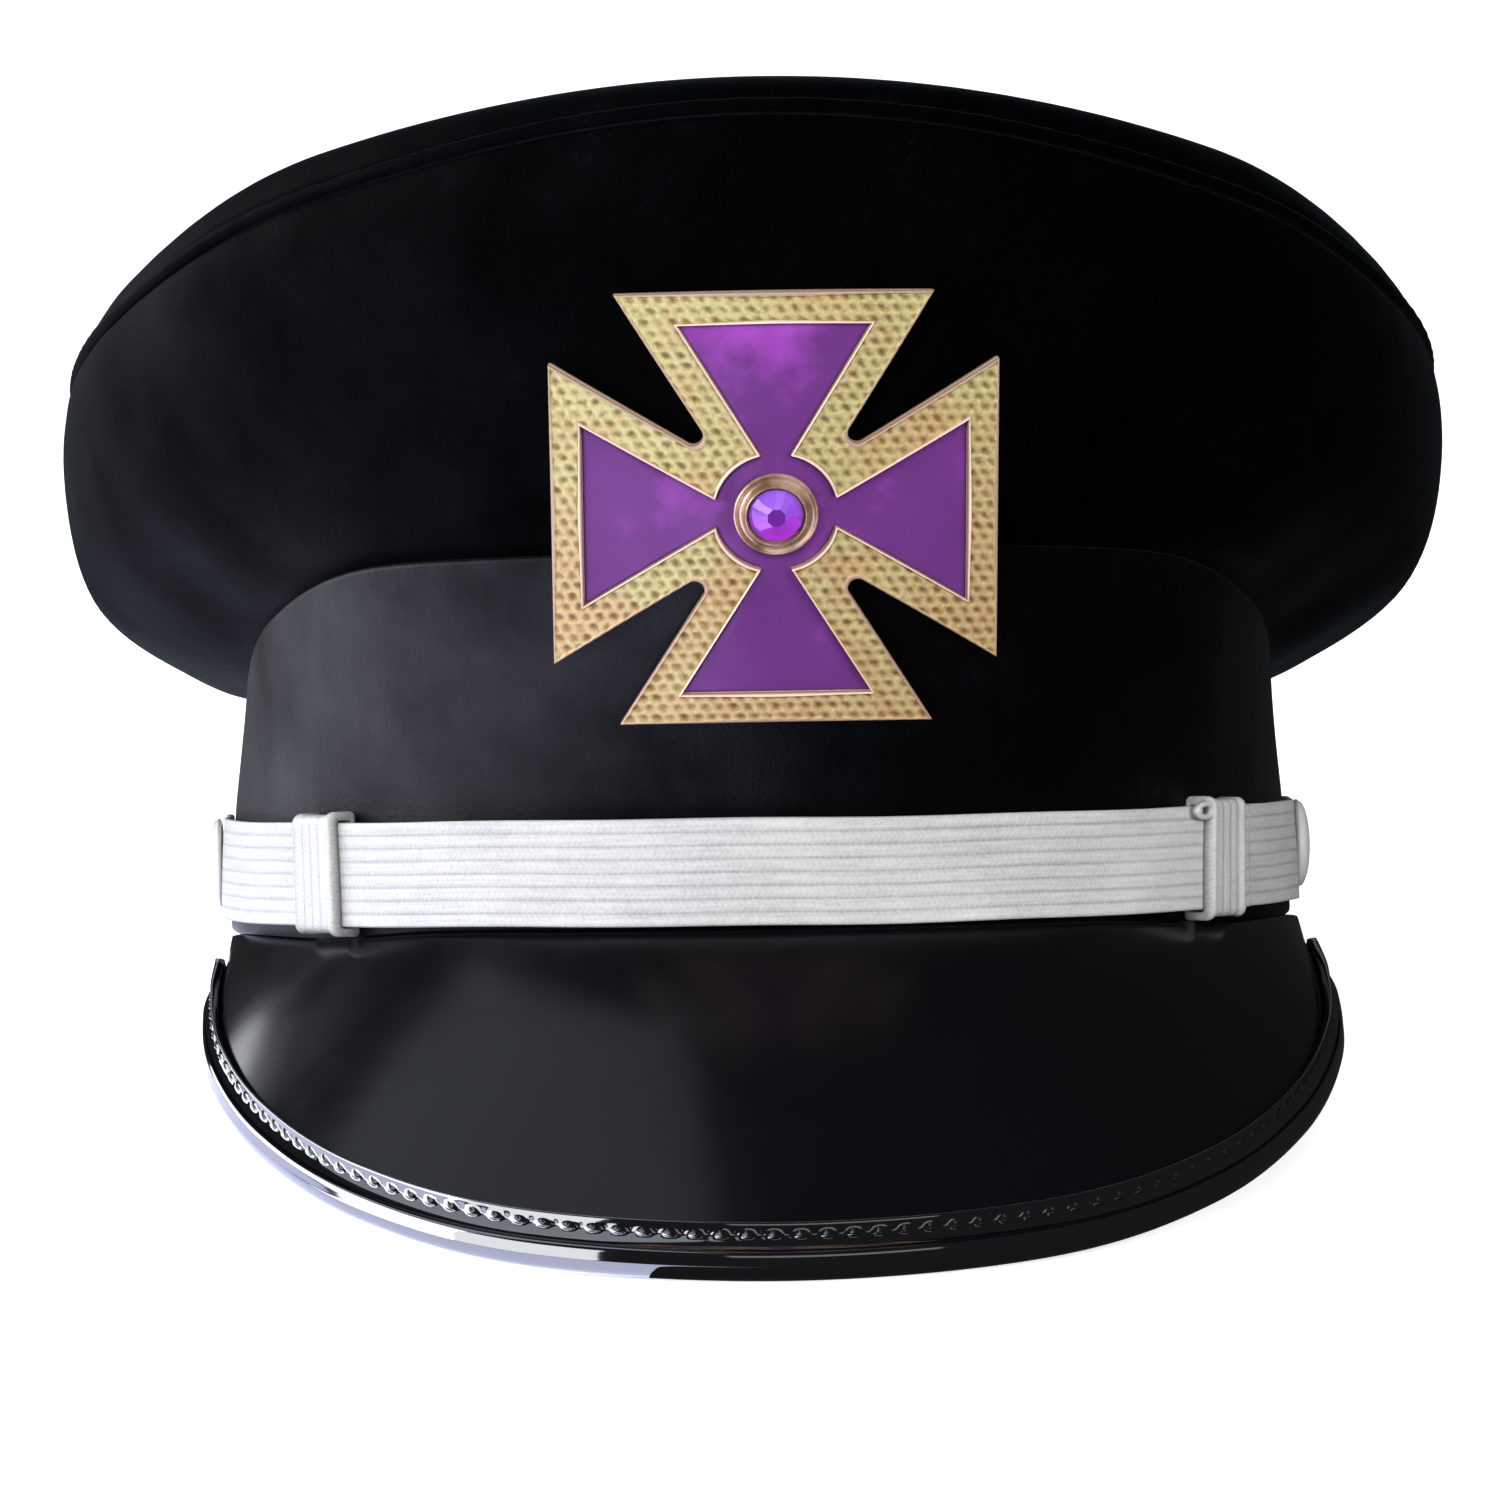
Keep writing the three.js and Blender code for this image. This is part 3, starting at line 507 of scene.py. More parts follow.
def seam_relief(distance, near, far):
    """Gathers that fade between two distances from the seam, less the sink of the turned-in edge,
    which falls off as an exponential of the distance."""
    gathers = GATHERS["height"] * puckers(GATHERS["count"], GATHERS["seed"])
    sunk = SEAM_EDGE["sink"] * np.exp(-max(0.0, distance - SEAM_EDGE["from"]) / SEAM_EDGE["fade"])
    return gathers * (1 - smooth_step(distance, near, far)) - sunk


def crown_side_rings():
    """The side panel: its foot inside the band, its swell, and the turned-in edge at the welt. Folds
    sink where it leaves the band and die out upwards. The inner face is the plain form pushed in
    along its normals, so that no fold shows through."""
    footing = []
    for up in (SEAM_GAP - BAND["rebate"], -2 * BAND["round_top"], -BAND["round_top"]):
        z = band_top + up
        footing.append(crown_point(band_out(round_angles, z) - BAND["lip"] - SEAM_GAP, z))
    climb = np.linspace(0, 1, 40)[:-1]
    rings = [crown_ring(seam_share(-SEAM_ZONE) * c) for c in climb]
    rings += [crown_ring(seam_share(-o)) for o in seam_steps[::-1]]
    normals = ring_normals(footing + rings)
    inner = [ring - n * CLOTH for ring, n in zip(footing + rings, normals)]
    height = np.concatenate([climb * 0.95, 1 - seam_steps[::-1] / SIDE_LENGTH])
    folds = cloth_ripple(**RIPPLES["crown_folds"])
    for i, s in enumerate(height):
        low = smooth_step(s, 0.02, 0.16) * (1 - smooth_step(s, 0.3, 0.75))
        relief = folds * low + seam_relief((1 - s) * SIDE_LENGTH, 2.7, 16.2)
        rings[i] = rings[i] + normals[len(footing) + i] * relief[:, None]
    return footing + rings + inner[::-1]


finish_piece("crown_side_wool", skin(np.stack(crown_side_rings())), crown_wool_painted_shade, ["crown_side"])


def crown_top_rings():
    """The top panel, from its middle over the crest to its turned-in edge at the welt, and back by
    the plain form of its inner face."""
    rings = [crown_ring(seam_share(o)) for o in seam_steps]
    climb = np.linspace(0, 1, 20)[1:]
    rings += [crown_ring(seam_share(SEAM_ZONE) * (1 - c) + ROLL["share"] * c) for c in climb]
    inner = np.linspace(ROLL["reach"], 0, 26)[1:]
    rings += [top_point(s) for s in inner]
    normals = ring_normals(rings)
    inner_face = [ring - n * CLOTH for ring, n in zip(rings, normals)]
    from_seam = np.concatenate([seam_steps, SEAM_ZONE + climb * 20, np.full(len(inner), 60.0)])
    swelling = smooth_step(from_seam, 10, 30)**2
    swelling[-len(inner):] = smooth_step(inner, 0.1, 0.5)
    swell = cloth_ripple(**RIPPLES["crown_swell"])
    for i, d in enumerate(from_seam):
        rings[i] = rings[i] + normals[i] * (swell * swelling[i] + seam_relief(d, 2, 14))[:, None]
    middle = np.repeat(CROWN_CENTRE[None], AROUND, 0)
    return [middle] + rings[-2::-1] + inner_face[:-1] + [middle - [0, 0, CLOTH]]


crown_top = skin(np.stack(crown_top_rings()), False)
finish_piece("crown_top_wool", crown_top, crown_wool_painted_shade, ["crown_top"])


def welt_rings():
    """A cord of a 24-sided section that follows the seam, sunk by a third of its radius, and pinched
    a little at each stitch."""
    centre = crown_ring(seam_share(0.0))
    along = unit(crown_ring(seam_share(0.5)) - crown_ring(seam_share(-0.5)))
    out = unit(np.cross(np.roll(centre, -1, 0) - np.roll(centre, 1, 0), along))
    radius = WELT_RADIUS * (1 + 0.05 * puckers(150, 6))[:, None]
    centre = centre - out * 0.3 * WELT_RADIUS
    turns = np.arange(24) * 2 * np.pi / 24
    return [centre + radius * (along * np.cos(t) + out * np.sin(t)) for t in turns]


finish_piece("crown_welt_wool", skin(np.stack(welt_rings())), crown_wool_painted_shade, ["crown_welt"])

# The peak is one bowed plate of black patent leather over a stiff core, sewn into the band's lower
# edge. Its lacquer is near mirror smooth, with a faint orange-peel and the marks of handling.
VISOR = {"thickness": 2.4, "bow": 1.6, "root_out": 0.4}
VISOR_STATIONS = np.array([
    [0, 1.7, 0, -142.5, -41.9],
    [18, 1.6, 35.5, -135.8, -40.1],
    [34, 1.2, 58.6, -120, -35.2],
    [47, -0.3, 73.6, -100, -28],
    [57, -0.6, 81.5, -80, -20],
    [64, -0.7, 83.5, -61.5, -12.6],
    [70, -0.7, 82.3, -43, -6.4]])
mirrored = VISOR_STATIONS[:0:-1] * [-1, 1, -1, 1, 1]
visor_stations = np.vstack([mirrored, VISOR_STATIONS])


def through_evenly(points, share):
    """The same curve through one row of points with every span counted alike, so that the slope at a
    point is half the step between its neighbours."""
    places = np.clip(share, 0, 1)
    return through_points(points[None], places.ravel(), 0)[0].reshape(*places.shape, -1)


def visor_under(along, down):
    """The peak's lower face: a line from its root on the band to its edge, raised by a sine bow."""
    along, down = np.broadcast_arrays(np.asarray(along, float), np.asarray(down, float))
    at = through_evenly(visor_stations, (along + 1) / 2)
    root = outside(at[..., 0], VISOR["root_out"], at[..., 1])
    line = at[..., 2:] - root
    lift = VISOR["bow"] * np.sin(np.pi * down) * np.linalg.norm(line, axis=-1) / 60
    raised = root + line * down[..., None]
    raised[..., 2] += lift
    return raised


def visor_directions(along, down):
    """Across the peak, outward and up from it, by small differences."""
    step = 1e-3
    across = visor_under(along + step, down) - visor_under(along - step, down)
    outward = visor_under(along, down + step) - visor_under(along, down - step)
    normal = unit(np.cross(outward, across))
    normal *= np.where(normal[..., 2:] < 0, -1, 1)
    return unit(across), unit(outward), normal


def new_group(name, takes, gives):
    """An empty group of nodes with named numbers going in and out, and its two end nodes."""
    group = bpy.data.node_groups.new(name, "ShaderNodeTree")
    for names, way in ((takes, "INPUT"), (gives, "OUTPUT")):
        for socket in names:
            group.interface.new_socket(socket, in_out=way, socket_type="NodeSocketFloat")
    return group, group.nodes.new("NodeGroupInput"), group.nodes.new("NodeGroupOutput")


def handling_group():
    """Marks of handling on a glossy surface: smears and faint scratches that raise its roughness."""
    group, given, out = new_group("handling_marks", ("Clean", "Marked", "Scale"), ("Roughness",))
    smear = noise(group, given.outputs["Scale"], 4, Distortion=1.2)
    stretched = node(group, "Mapping", Vector=object_place(group), Scale=(900, 60, 300),
                     Rotation=(0.3, 0.5, 0.9))
    scratch = math(group, "SUBTRACT", noise(group, 1.0, 2, stretched.outputs[0]), 0.70)
    lines = math(group, "SMOOTH_MIN", math(group, "MULTIPLY", scratch, 8), 1, 0.1)
    amount = math(group, "MAXIMUM", math(group, "MULTIPLY", smear, 0.7), lines)
    mixed = node(group, "MapRange", Value=amount, _1=0.25, _2=0.9)
    for index, name in ((3, "Clean"), (4, "Marked")):
        group.links.new(given.outputs[name], mixed.inputs[index])
    group.links.new(mixed.outputs[0], out.inputs["Roughness"])
    return group


handling = handling_group()


def marked_roughness(tree, shader, clean, marked, scale):
    """Places the handling marks in a material with its own values."""
    placed = node(tree, "Group", {"node_tree": handling}, Clean=clean, Marked=marked, Scale=scale)
    tree.links.new(placed.outputs[0], shader.inputs["Roughness"])


def patent_material(name, clean, marked, index):
    """Lacquered leather: almost black, smooth, with a faint orange-peel under the gloss."""
    material, tree, shader = plain_material(name, (0.0016, 0.0016, 0.0022), Roughness=clean, IOR=index)
    marked_roughness(tree, shader, clean, marked, 70)
    bump(tree, shader, noise(tree, 120, 2, Roughness=0.4), 0.35, 0.05)
    return material


patent = patent_material("patent_leather", 0.16, 0.3, 1.34)
bound_patent = patent_material("bound_patent", 0.04, 0.10, 2.3)


def visor_grid():
    """The peak as a ring of rows: down its upper face, round its edge, and back under it."""
    downs = np.concatenate([np.linspace(0, 0.985, 40), [0.995, 1.0]])
    rows = []
    for lift, order in ((VISOR["thickness"], downs), (0.0, downs[::-1])):
        down, along = np.meshgrid(order, np.linspace(-1, 1, 321), indexing="ij")
        rows.append(visor_under(along, down) + visor_directions(along, down)[2] * lift)
    return np.concatenate(rows)


def close_ends(grid):
    """Adds the middle of each end's section to a swept ring of rows, so that its ends are capped."""
    first, last = grid[:, :1].mean(0, keepdims=True), grid[:, -1:].mean(0, keepdims=True)
    return np.concatenate([np.repeat(first, len(grid), 0), grid, np.repeat(last, len(grid), 0)], 1)


finish_piece("visor_patent", skin(close_ends(visor_grid()), True, False), patent, ["visor"])

# The binding is a strip of the same patent folded over the peak's edge. Its inner edge is turned
# under into a bead, and a row of stitches pulls that bead into scallops all along it.
BINDING_INWARD = 4.6
STITCH_PITCH = 3.6
TOOTH = {"at": -2.95, "width": 0.36, "height": 0.62, "drawn": 0.12, "out": 0.55}
BINDING_OUTLINE = np.array([
    [-4.60, 0.00], [-4.66, 0.45], [-4.66, 0.95], [-4.54, 1.32], [-4.28, 1.46], [-4.02, 1.34],
    [-3.72, 1.10], [-3.44, 0.86], [-3.16, 0.62], [-2.84, 0.46], [-2.20, 0.40], [-1.50, 0.44],
    [-0.80, 0.60], [-0.26, 0.86], [0.10, 0.98], [0.50, 0.88], [1.00, 0.54], [1.50, 0.18],
    [1.82, -0.06], [2.12, -0.52], [2.36, -1.05], [2.46, -1.65], [2.38, -2.20], [2.15, -2.85],
    [1.80, -3.45], [1.35, -3.92], [0.85, -4.20], [0.30, -4.28], [-1.20, -4.22], [-3.60, -4.15],
    [-4.45, -3.95], [-4.62, -3.60], [-4.60, -3.30]])


def binding_outline():
    """The binding's section as steps out from the peak's edge and up from its middle: the outer line
    smoothed, then the slot that grips the plate."""
    slot = VISOR["thickness"] / 2 + 0.45
    outer = through_evenly(BINDING_OUTLINE + [0, slot + 0.02], np.linspace(0, 1, 90))
    inside = np.array([[-4.6, -slot], [-2.4, -slot], [0.3, -slot], [0.3, slot], [-2.4, slot]])
    return np.vstack([outer, inside])


def binding_rows():
    """Sweeps the section along the peak's edge. Between stitches the bead's outer flank stands out in
    a pointed tooth, a power of a triangle wave of the length walked, and at each stitch it is drawn in."""
    along = np.linspace(-1, 1, 1001)
    edge = visor_under(along, np.ones_like(along))
    across, outward, normal = visor_directions(along, np.ones_like(along))
    walked = length_along(edge)
    level = unit(outward - across * np.sum(outward * across, -1, keepdims=True))
    room = np.linalg.norm(edge - visor_under(along, np.zeros_like(along)), axis=-1)
    reach = np.minimum(1, 0.42 * room / BINDING_INWARD)
    tooth = np.abs(2 * np.mod(walked / STITCH_PITCH, 1) - 1)**1.5
    half = VISOR["thickness"] / 2
    rows = []
    for out, up in binding_outline():
        flank = np.exp(-((out - TOOTH["at"]) / TOOTH["width"])**2) * (up > half)
        lifted = up + flank * (TOOTH["height"] * tooth - TOOTH["drawn"])
        if out > 0:
            rows.append(edge + level * out + normal * (half + lifted)[:, None])
            continue
        down = 1 + (out + TOOTH["out"] * flank * tooth) * reach / room
        lean = visor_directions(along, down)[2]
        rows.append(visor_under(along, down) + lean * (half + lifted)[:, None])
    return np.stack(rows), walked, along, room, reach


rows, edge_walked, edge_along, edge_room, edge_reach = binding_rows()
binding = skin(close_ends(rows), True, False)
finish_piece("visor_binding_patent", binding, bound_patent, ["visor_binding"])


def capsules(starts, ends, normals, radius, sides=6, steps=5):
    """Many small rods with round ends as one mesh: rings of points round each line, their radius
    falling to nothing at both ends as a half ellipse."""
    along = unit(ends - starts)
    side = unit(np.cross(along, normals))
    up = np.cross(side, along)
    t = np.linspace(0, 1, steps)
    width = radius * np.sqrt(np.clip(1 - (2 * t - 1)**4, 0, 1))
    turn = np.arange(sides) * 2 * np.pi / sides
    centre = starts[:, None] + (ends - starts)[:, None] * t[None, :, None]
    ring = side[:, None] * np.cos(turn)[:, None] + up[:, None] * np.sin(turn)[:, None]
    points = centre[:, :, None] + ring[:, None] * width[:, None, None]
    one = grid_faces(steps, sides, False, True)
    faces = one[None] + (np.arange(len(starts)) * steps * sides)[:, None, None]
    return points.reshape(-1, 3), faces.reshape(-1, 4)


def stitch_rods():
    """A stitch for each pitch of the walk along the edge, lying in the channel beside the bead."""
    centres = np.arange(2 * STITCH_PITCH, edge_walked[-1] - STITCH_PITCH / 2, STITCH_PITCH)
    places = []
    for shift, out, high in ((-0.35, -3.5, 1.55), (0.35, -2.4, 0.8)):
        along = np.interp(centres + shift, edge_walked, edge_along)
        down = 1 + out * np.interp(along, edge_along, edge_reach / edge_room)
        normal = visor_directions(along, down)[2]
        places.append(visor_under(along, down) + normal * (VISOR["thickness"] + high))
    return *places, normal


thread, thread_tree, thread_shader = plain_material("waxed_thread", (0.006, 0.006, 0.008), Roughness=0.5)
bump(thread_tree, thread_shader, noise(thread_tree, 1600, 3), 0.5, 0.1)
stitches = capsules(*stitch_rods(), 0.26)
finish_piece("binding_stitches", stitches, thread, [])

# The chin strap is two lengths of flat silver braid, eight plaited cords side by side. Each is held
# by a side button, and its free end runs on under the other through a keeper of the same braid.
STRAP = {"width": 15.6, "thickness": 1.0, "front_height": 11.5, "side_height": 10.6, "end_lap": 8,
         "rib_depth": 0.035}
STRAP_DRIFT = ((0.12, 17.0, 3), (0.07, 6.1, 1))
CORDS = 8
KEEPER = {"start_angle": 44.5, "length": 12, "shown": 10.8, "wall": 0.8, "bead": 0.85, "face_from": 2.1,
          "ribs": 4, "rib_depth": 0.09, "tail": 0.35}
BUTTON = {"angle": 87, "radius": 7.2, "dome": 2.7, "shank": 1.2, "shank_end": -5.8}
LAYERS = {"band": 0.3, "inner": 1.2, "outer": 2.5, "keeper_front": 3.8}
SIDES = (("left", -1), ("right", 1))
half_angles = np.arange(0, 180.25, 0.25)
arc_walked = length_along(oval(half_angles))


def strap_point(arc, out, up):
    """A point so far along the band from its front, so far out of its face, and above the strap's
    line, which sinks from the front to the sides by the square of the cosine."""
    arc, out, up = np.broadcast_arrays(np.asarray(arc, float), out, up)
    angle = np.sign(arc) * np.interp(np.abs(arc), arc_walked, half_angles)
    rise = STRAP["front_height"] - STRAP["side_height"]
    z = STRAP["side_height"] + rise * np.cos(np.radians(angle))**2 + up
    return outside(angle, band_out(angle, z) + out, z)


def arc_at(angle):
    """The length walked along the band from its front to an angle."""
    return np.interp(angle, half_angles, arc_walked)


def braid_group():
    """A flat plait: cords side by side across v, and in each a herringbone whose strands lean away
    from the cord's middle as u grows. Puts out its height and how deep a point lies in a groove."""
    group, given, out = new_group("plaited_cords", ("Cord", "Strand"), ("Height", "Groove"))
    place = node(group, "SeparateXYZ", Vector=node(group, "UVMap", {"uv_map": "weave"}).outputs[0])
    cell = math(group, "FRACT", math(group, "DIVIDE", place.outputs["Y"], given.outputs["Cord"]))
    beside = math(group, "ABSOLUTE", math(group, "SUBTRACT", cell, 0.5))
    lean = math(group, "MULTIPLY", beside, 1.6)
    phase = math(group, "ADD", math(group, "DIVIDE", place.outputs["X"], given.outputs["Strand"]), lean)
    strand = math(group, "ABSOLUTE", math(group, "SINE", math(group, "MULTIPLY", phase, np.pi)))
    groove = math(group, "POWER", math(group, "MULTIPLY", beside, 2), 4)
    height = math(group, "SUBTRACT", math(group, "POWER", strand, 0.6), groove)
    group.links.new(height, out.inputs["Height"])
    group.links.new(groove, out.inputs["Groove"])
    return group


braid = braid_group()


def braid_material(name, cord, strand):
    """Silver-wound thread, a few strands dull: painted highlight where a strand rises, painted shade in the
    grooves.
    """
    material, tree, shader = plain_material(name, (0.7, 0.7, 0.69), Roughness=0.5, Metallic=0.15)
    plait = node(tree, "Group", {"node_tree": braid}, Cord=cord, Strand=strand)
    worn, fine = noise(tree, 55, 4, Roughness=0.6), noise(tree, 1500, 2)
    weave = node(tree, "UVMap", {"uv_map": "weave"}).outputs[0]
    along = node(tree, "Mapping", Vector=weave, Scale=(0.07, 1.7, 1))
    streak = noise(tree, 1, 5, along.outputs[0], Roughness=0.75)
    sunk = math(tree, "MULTIPLY", plait.outputs["Groove"], streak)
    raised = plait.outputs["Height"]
    # The raised and sunk terms are a painted highlight on the strands and painted shade in the grooves;
    # streak, worn and fine are the thread's own tone.
    light = weighed(tree, (raised, 0.07), (sunk, -0.24), (streak, 0.45), (worn, 0.25), (fine, 0.2))
    paint(tree, shader, shade(tree, light, (0.22, (0.185, 0.185, 0.19)), (0.48, (0.355, 0.355, 0.35)),
                              (0.75, (0.52, 0.52, 0.505))))
    bump(tree, shader, weighed(tree, (raised, 1), (fine, 0.4)), 0.25, 0.06)
    return material


strap_braid = braid_material("silver_braid", STRAP["width"] / CORDS, 0.85)


def cord_relief(v, width, cords, depth):
    """How far the face dips across a braid: each cord is a low arch, deepest in the grooves."""
    cell = np.mod(v / (width / cords), 1) - 0.5
    return -depth * np.abs(2 * cell)**3


def half_round(distance, radius):
    """The height, from 0 to 1, of a round cord that lies within its diameter of a line."""
    return np.sqrt(np.clip(1 - (distance / radius - 1)**2, 0, 1))


def strap_shell(side, layer):
    """One strap as a closed grid, its section carried along the band: a ribbed face, rounded selvedges
    and a plain back. Its buttoned end is a half ellipse that comes down onto the band."""
    button_end = arc_at(BUTTON["angle"]) + STRAP["end_lap"]
    free_end = arc_at(KEEPER["start_angle"]) + KEEPER["length"] + 2
    walked = np.concatenate([np.linspace(0, STRAP["end_lap"], 24)[:-1],
                             np.linspace(STRAP["end_lap"], button_end + free_end, 560)])
    rounding = np.clip(1 - walked / STRAP["end_lap"], 0, 1)
    narrow = np.sqrt(np.clip(1 - rounding**2, 0.01, 1))
    settled = smooth_step(walked, 2.2 * STRAP["end_lap"], 5 * STRAP["end_lap"])
    base = LAYERS["band"] + (layer - LAYERS["band"]) * settled
    half = STRAP["width"] / 2
    across = np.linspace(-1, 1, CORDS * 7 + 1)
    ribs = cord_relief((across + 1) * half, STRAP["width"], CORDS, STRAP["rib_depth"])
    face = np.append(STRAP["thickness"] + 0.1 + ribs, [0.35, 0.0, 0.0, 0.35])
    across = np.append(across, [1.0, 0.97, -0.97, -1.0])
    drift = sum(high * np.sin(walked / stretch + turn * layer) for high, stretch, turn in STRAP_DRIFT)
    out = base[None, :] + face[:, None]
    up = across[:, None] * half * narrow[None, :] + drift[None, :]
    grid = strap_point(side * (walked - button_end)[None, :], out, up)
    v = np.append((across + 1) * half, (across[0] + 1) * half)
    return grid, v, walked


def corner_uvs(u, v):
    """The UV of each face corner of a grid, in millimetres: u goes by column and v by row."""
    i, j = np.meshgrid(np.arange(len(v) - 1), np.arange(len(u) - 1), indexing="ij")
    corners = [(i, j), (i, j + 1), (i + 1, j + 1), (i + 1, j)]
    return np.stack([np.stack([u[b], v[a]], -1) for a, b in corners], 2).reshape(-1, 4, 2)


for name, side in (("outer", 1), ("inner", -1)):
    grid, v, walked = strap_shell(side, LAYERS[name])
    uv = corner_uvs(np.concatenate([walked[:1], walked, walked[-1:]]), v)
    finish_piece(f"strap_{name}_braid", skin(close_ends(grid), True, False), strap_braid,
                 [f"strap_{name}"], corner_uv=uv)

# A keeper is a short piece of narrower braid wrapped round both straps, its cords running up and
# down. Its edge towards the badge is rolled into a bead, which on one side curls into a small eye.
keeper_braid = braid_material("keeper_braid", 2.0, 0.7)


def keeper_loop(grow, front):
    """The keeper's line round both straps as steps out and up, with rounded corners: a box whose
    corner radius is the wall's, at so much growth."""
    top = STRAP["width"] / 2 + 0.3 + grow
    back = LAYERS["band"] + 0.6 - min(grow, 0.6)
    r = 0.5 + grow
    upper = arc_line([front - r, top - r], r, 0, 90, 6)
    face = np.stack([np.full(15, front), np.linspace(r - top, top - r, 17)[1:-1]], -1)
    lower = upper[::-1] * [1, -1]
    behind = np.array([[0.3, top], [0, top - 0.3], [0, 0], [0, 0.3 - top], [0.3, -top]]) + [back, 0]
    return np.vstack([lower, face, upper, behind])


def keeper_shell(side):
    """The loop carried along the band: the rolled bead swells as half a circle over its first two
    millimetres, low ribs follow, and the inner face comes back inside."""
    bead_radius, face_from, end = KEEPER["bead"], KEEPER["face_from"], KEEPER["shown"]
    walk = np.concatenate([np.linspace(0, 2 * bead_radius, 11), np.linspace(face_from, end, 34)])
    bead = half_round(walk, bead_radius) * bead_radius
    tail = np.exp(-((walk - end + 0.9) / 0.6)**2) * KEEPER["tail"]
    ribs = cord_relief(walk - face_from, end - face_from, KEEPER["ribs"], KEEPER["rib_depth"])
    ribs *= walk >= face_from
    swell = bead + tail + ribs
    start, wall, front = arc_at(KEEPER["start_angle"]), KEEPER["wall"], LAYERS["keeper_front"]
    outer = [strap_point(side * (start + w), *keeper_loop(wall + 0.6 * s, front + wall + s).T)
             for w, s in zip(walk, swell)]
    inner = [strap_point(side * (start + w), *keeper_loop(0.0, front).T) for w in walk]
    return np.stack(outer + inner[::-1]), walk


def keeper_uvs(grid, walk):
    """Cords run round the loop: u follows the loop and v the walk along the band."""
    length = length_along(grid[0])
    return corner_uvs(np.append(length, length[-1] + 0.5), np.concatenate([walk, walk[::-1], walk[:1]]))


for name, side in SIDES:
    grid, walk = keeper_shell(side)
    finish_piece(f"keeper_{name}_braid", skin(grid), keeper_braid, [f"keeper_{name}"],
                 corner_uv=keeper_uvs(grid, walk))


EYE = {"half_wide": 1.75, "half_high": 1.0, "cord": 0.62, "before": 1.2, "under_top": 0.55}


def curled_eye():
    """A ring of braid, wider than high, that lies on the strap at the upper end of the bead."""
    round_way, tube = np.meshgrid(np.arange(36) * np.pi / 18, np.arange(14) * np.pi / 7, indexing="ij")
    reach = 1.0 + EYE["cord"] * np.cos(tube) / 1.35
    along = arc_at(KEEPER["start_angle"]) - EYE["before"] + EYE["half_wide"] * reach * np.cos(round_way)
    up = STRAP["width"] / 2 - EYE["under_top"] + EYE["half_high"] * reach * np.sin(round_way)
    return strap_point(along, LAYERS["keeper_front"] + 0.75 + EYE["cord"] * np.sin(tube), up)


eye_uv = corner_uvs(np.arange(15) * 0.28, np.arange(37) * 0.23)[..., ::-1]
finish_piece("keeper_right_eye", skin(curled_eye()), keeper_braid, [], corner_uv=eye_uv)

# A side button is a plain silvered dome with a turned-in edge, soldered to a shank that goes through
# the strap's end and the band.
def axis_frame(axis):
    """Two directions square to an axis, the first of them level, and the axis itself, as unit rows."""
    axis = unit(axis)
    first = unit(np.cross(axis, [0.0, 0.0, 1.0]))
    return np.stack([first, np.cross(axis, first), axis])


def lathe(profile, foot, axis, sides=64):
    """Turns a profile of radius and height round an axis that starts at a foot."""
    first, second, axis = axis_frame(axis)
    turn = np.arange(sides) * 2 * np.pi / sides
    spoke = first * np.cos(turn)[:, None] + second * np.sin(turn)[:, None]
    return skin(foot + profile[:, None, :1] * spoke[None] + profile[:, None, 1:] * axis, False)


def button_profile():
    """From the shank's end to the rim, and over the dome, an arc of an ellipse."""
    r, dome, shank, end = (BUTTON[key] for key in ("radius", "dome", "shank", "shank_end"))
    over = arc_line([0, 1], np.array([r - 0.25, dome - 1]), 0, 90, 16)
    under = [[0, end], [shank - 0.1, end], [shank, end + 0.2], [shank, 0.05], [r - 0.9, 0.05], [r - 0.35, 0.2],
             [r - 0.05, 0.45], [r, 0.7], [r - 0.08, 0.9]]
    return np.vstack([under, over])


metal, metal_tree, metal_shader = plain_material("silvered_metal", (0.56, 0.56, 0.55), Roughness=0.4,
                                                 Metallic=0.3)
marked_roughness(metal_tree, metal_shader, 0.34, 0.55, 180)
bump(metal_tree, metal_shader, noise(metal_tree, 700, 3), 0.2, 0.05)
for name, side in SIDES:
    foot = strap_point(side * arc_at(BUTTON["angle"]), 1.6, 0.0)
    away = strap_point(side * arc_at(BUTTON["angle"]), 2.6, 0.0) - foot
    dome = lathe(button_profile(), foot, away)
    finish_piece(f"side_button_{name}_dome", dome, metal, [f"side_button_{name}"])

# The badge is a cross with flared arms, of gold bullion wire laid over a card in staggered rows, with
# a hollow between each length and the next. A plain bright wire runs round the purple field, and the
# whole is bent to the crown's front.
BADGE = {"half": 32.1, "arm_half": 22.5, "flare": 31.5, "notch_radius": 1.4, "thickness": 1.8}
BADGE_FACE = {"height": 63.4, "lean": 20, "vert_radius": 400, "round_radius": 95, "clear": 3.1}
INLAY = {"reach": 27.4, "end_half": 13.4, "neck_half": 2, "middle_radius": 8.6, "thickness": 1.08}
BULLION = {"length": 2.0, "row": 1.6, "rise": 0.36}
HOLLOW = {"long": 0.62, "wide": 0.72, "lean": 0.35, "least": 0.55, "spread": 0.45}
WIRE = {"edge_radius": 0.4, "edge_high": 0.45, "inner_radius": 0.3, "inner_high": 0.75}
BORDER = {"lowest": 0.15, "rim_drop": 0.7, "face_drop": 0.55, "inner_drop": 0.9, "tuck": 0.02}
FOIL_EDGE = np.array([[0.0, 0.0], [0.0, 0.75], [0.012, 0.96], [0.03, 1.03], [0.06, 1.06]])


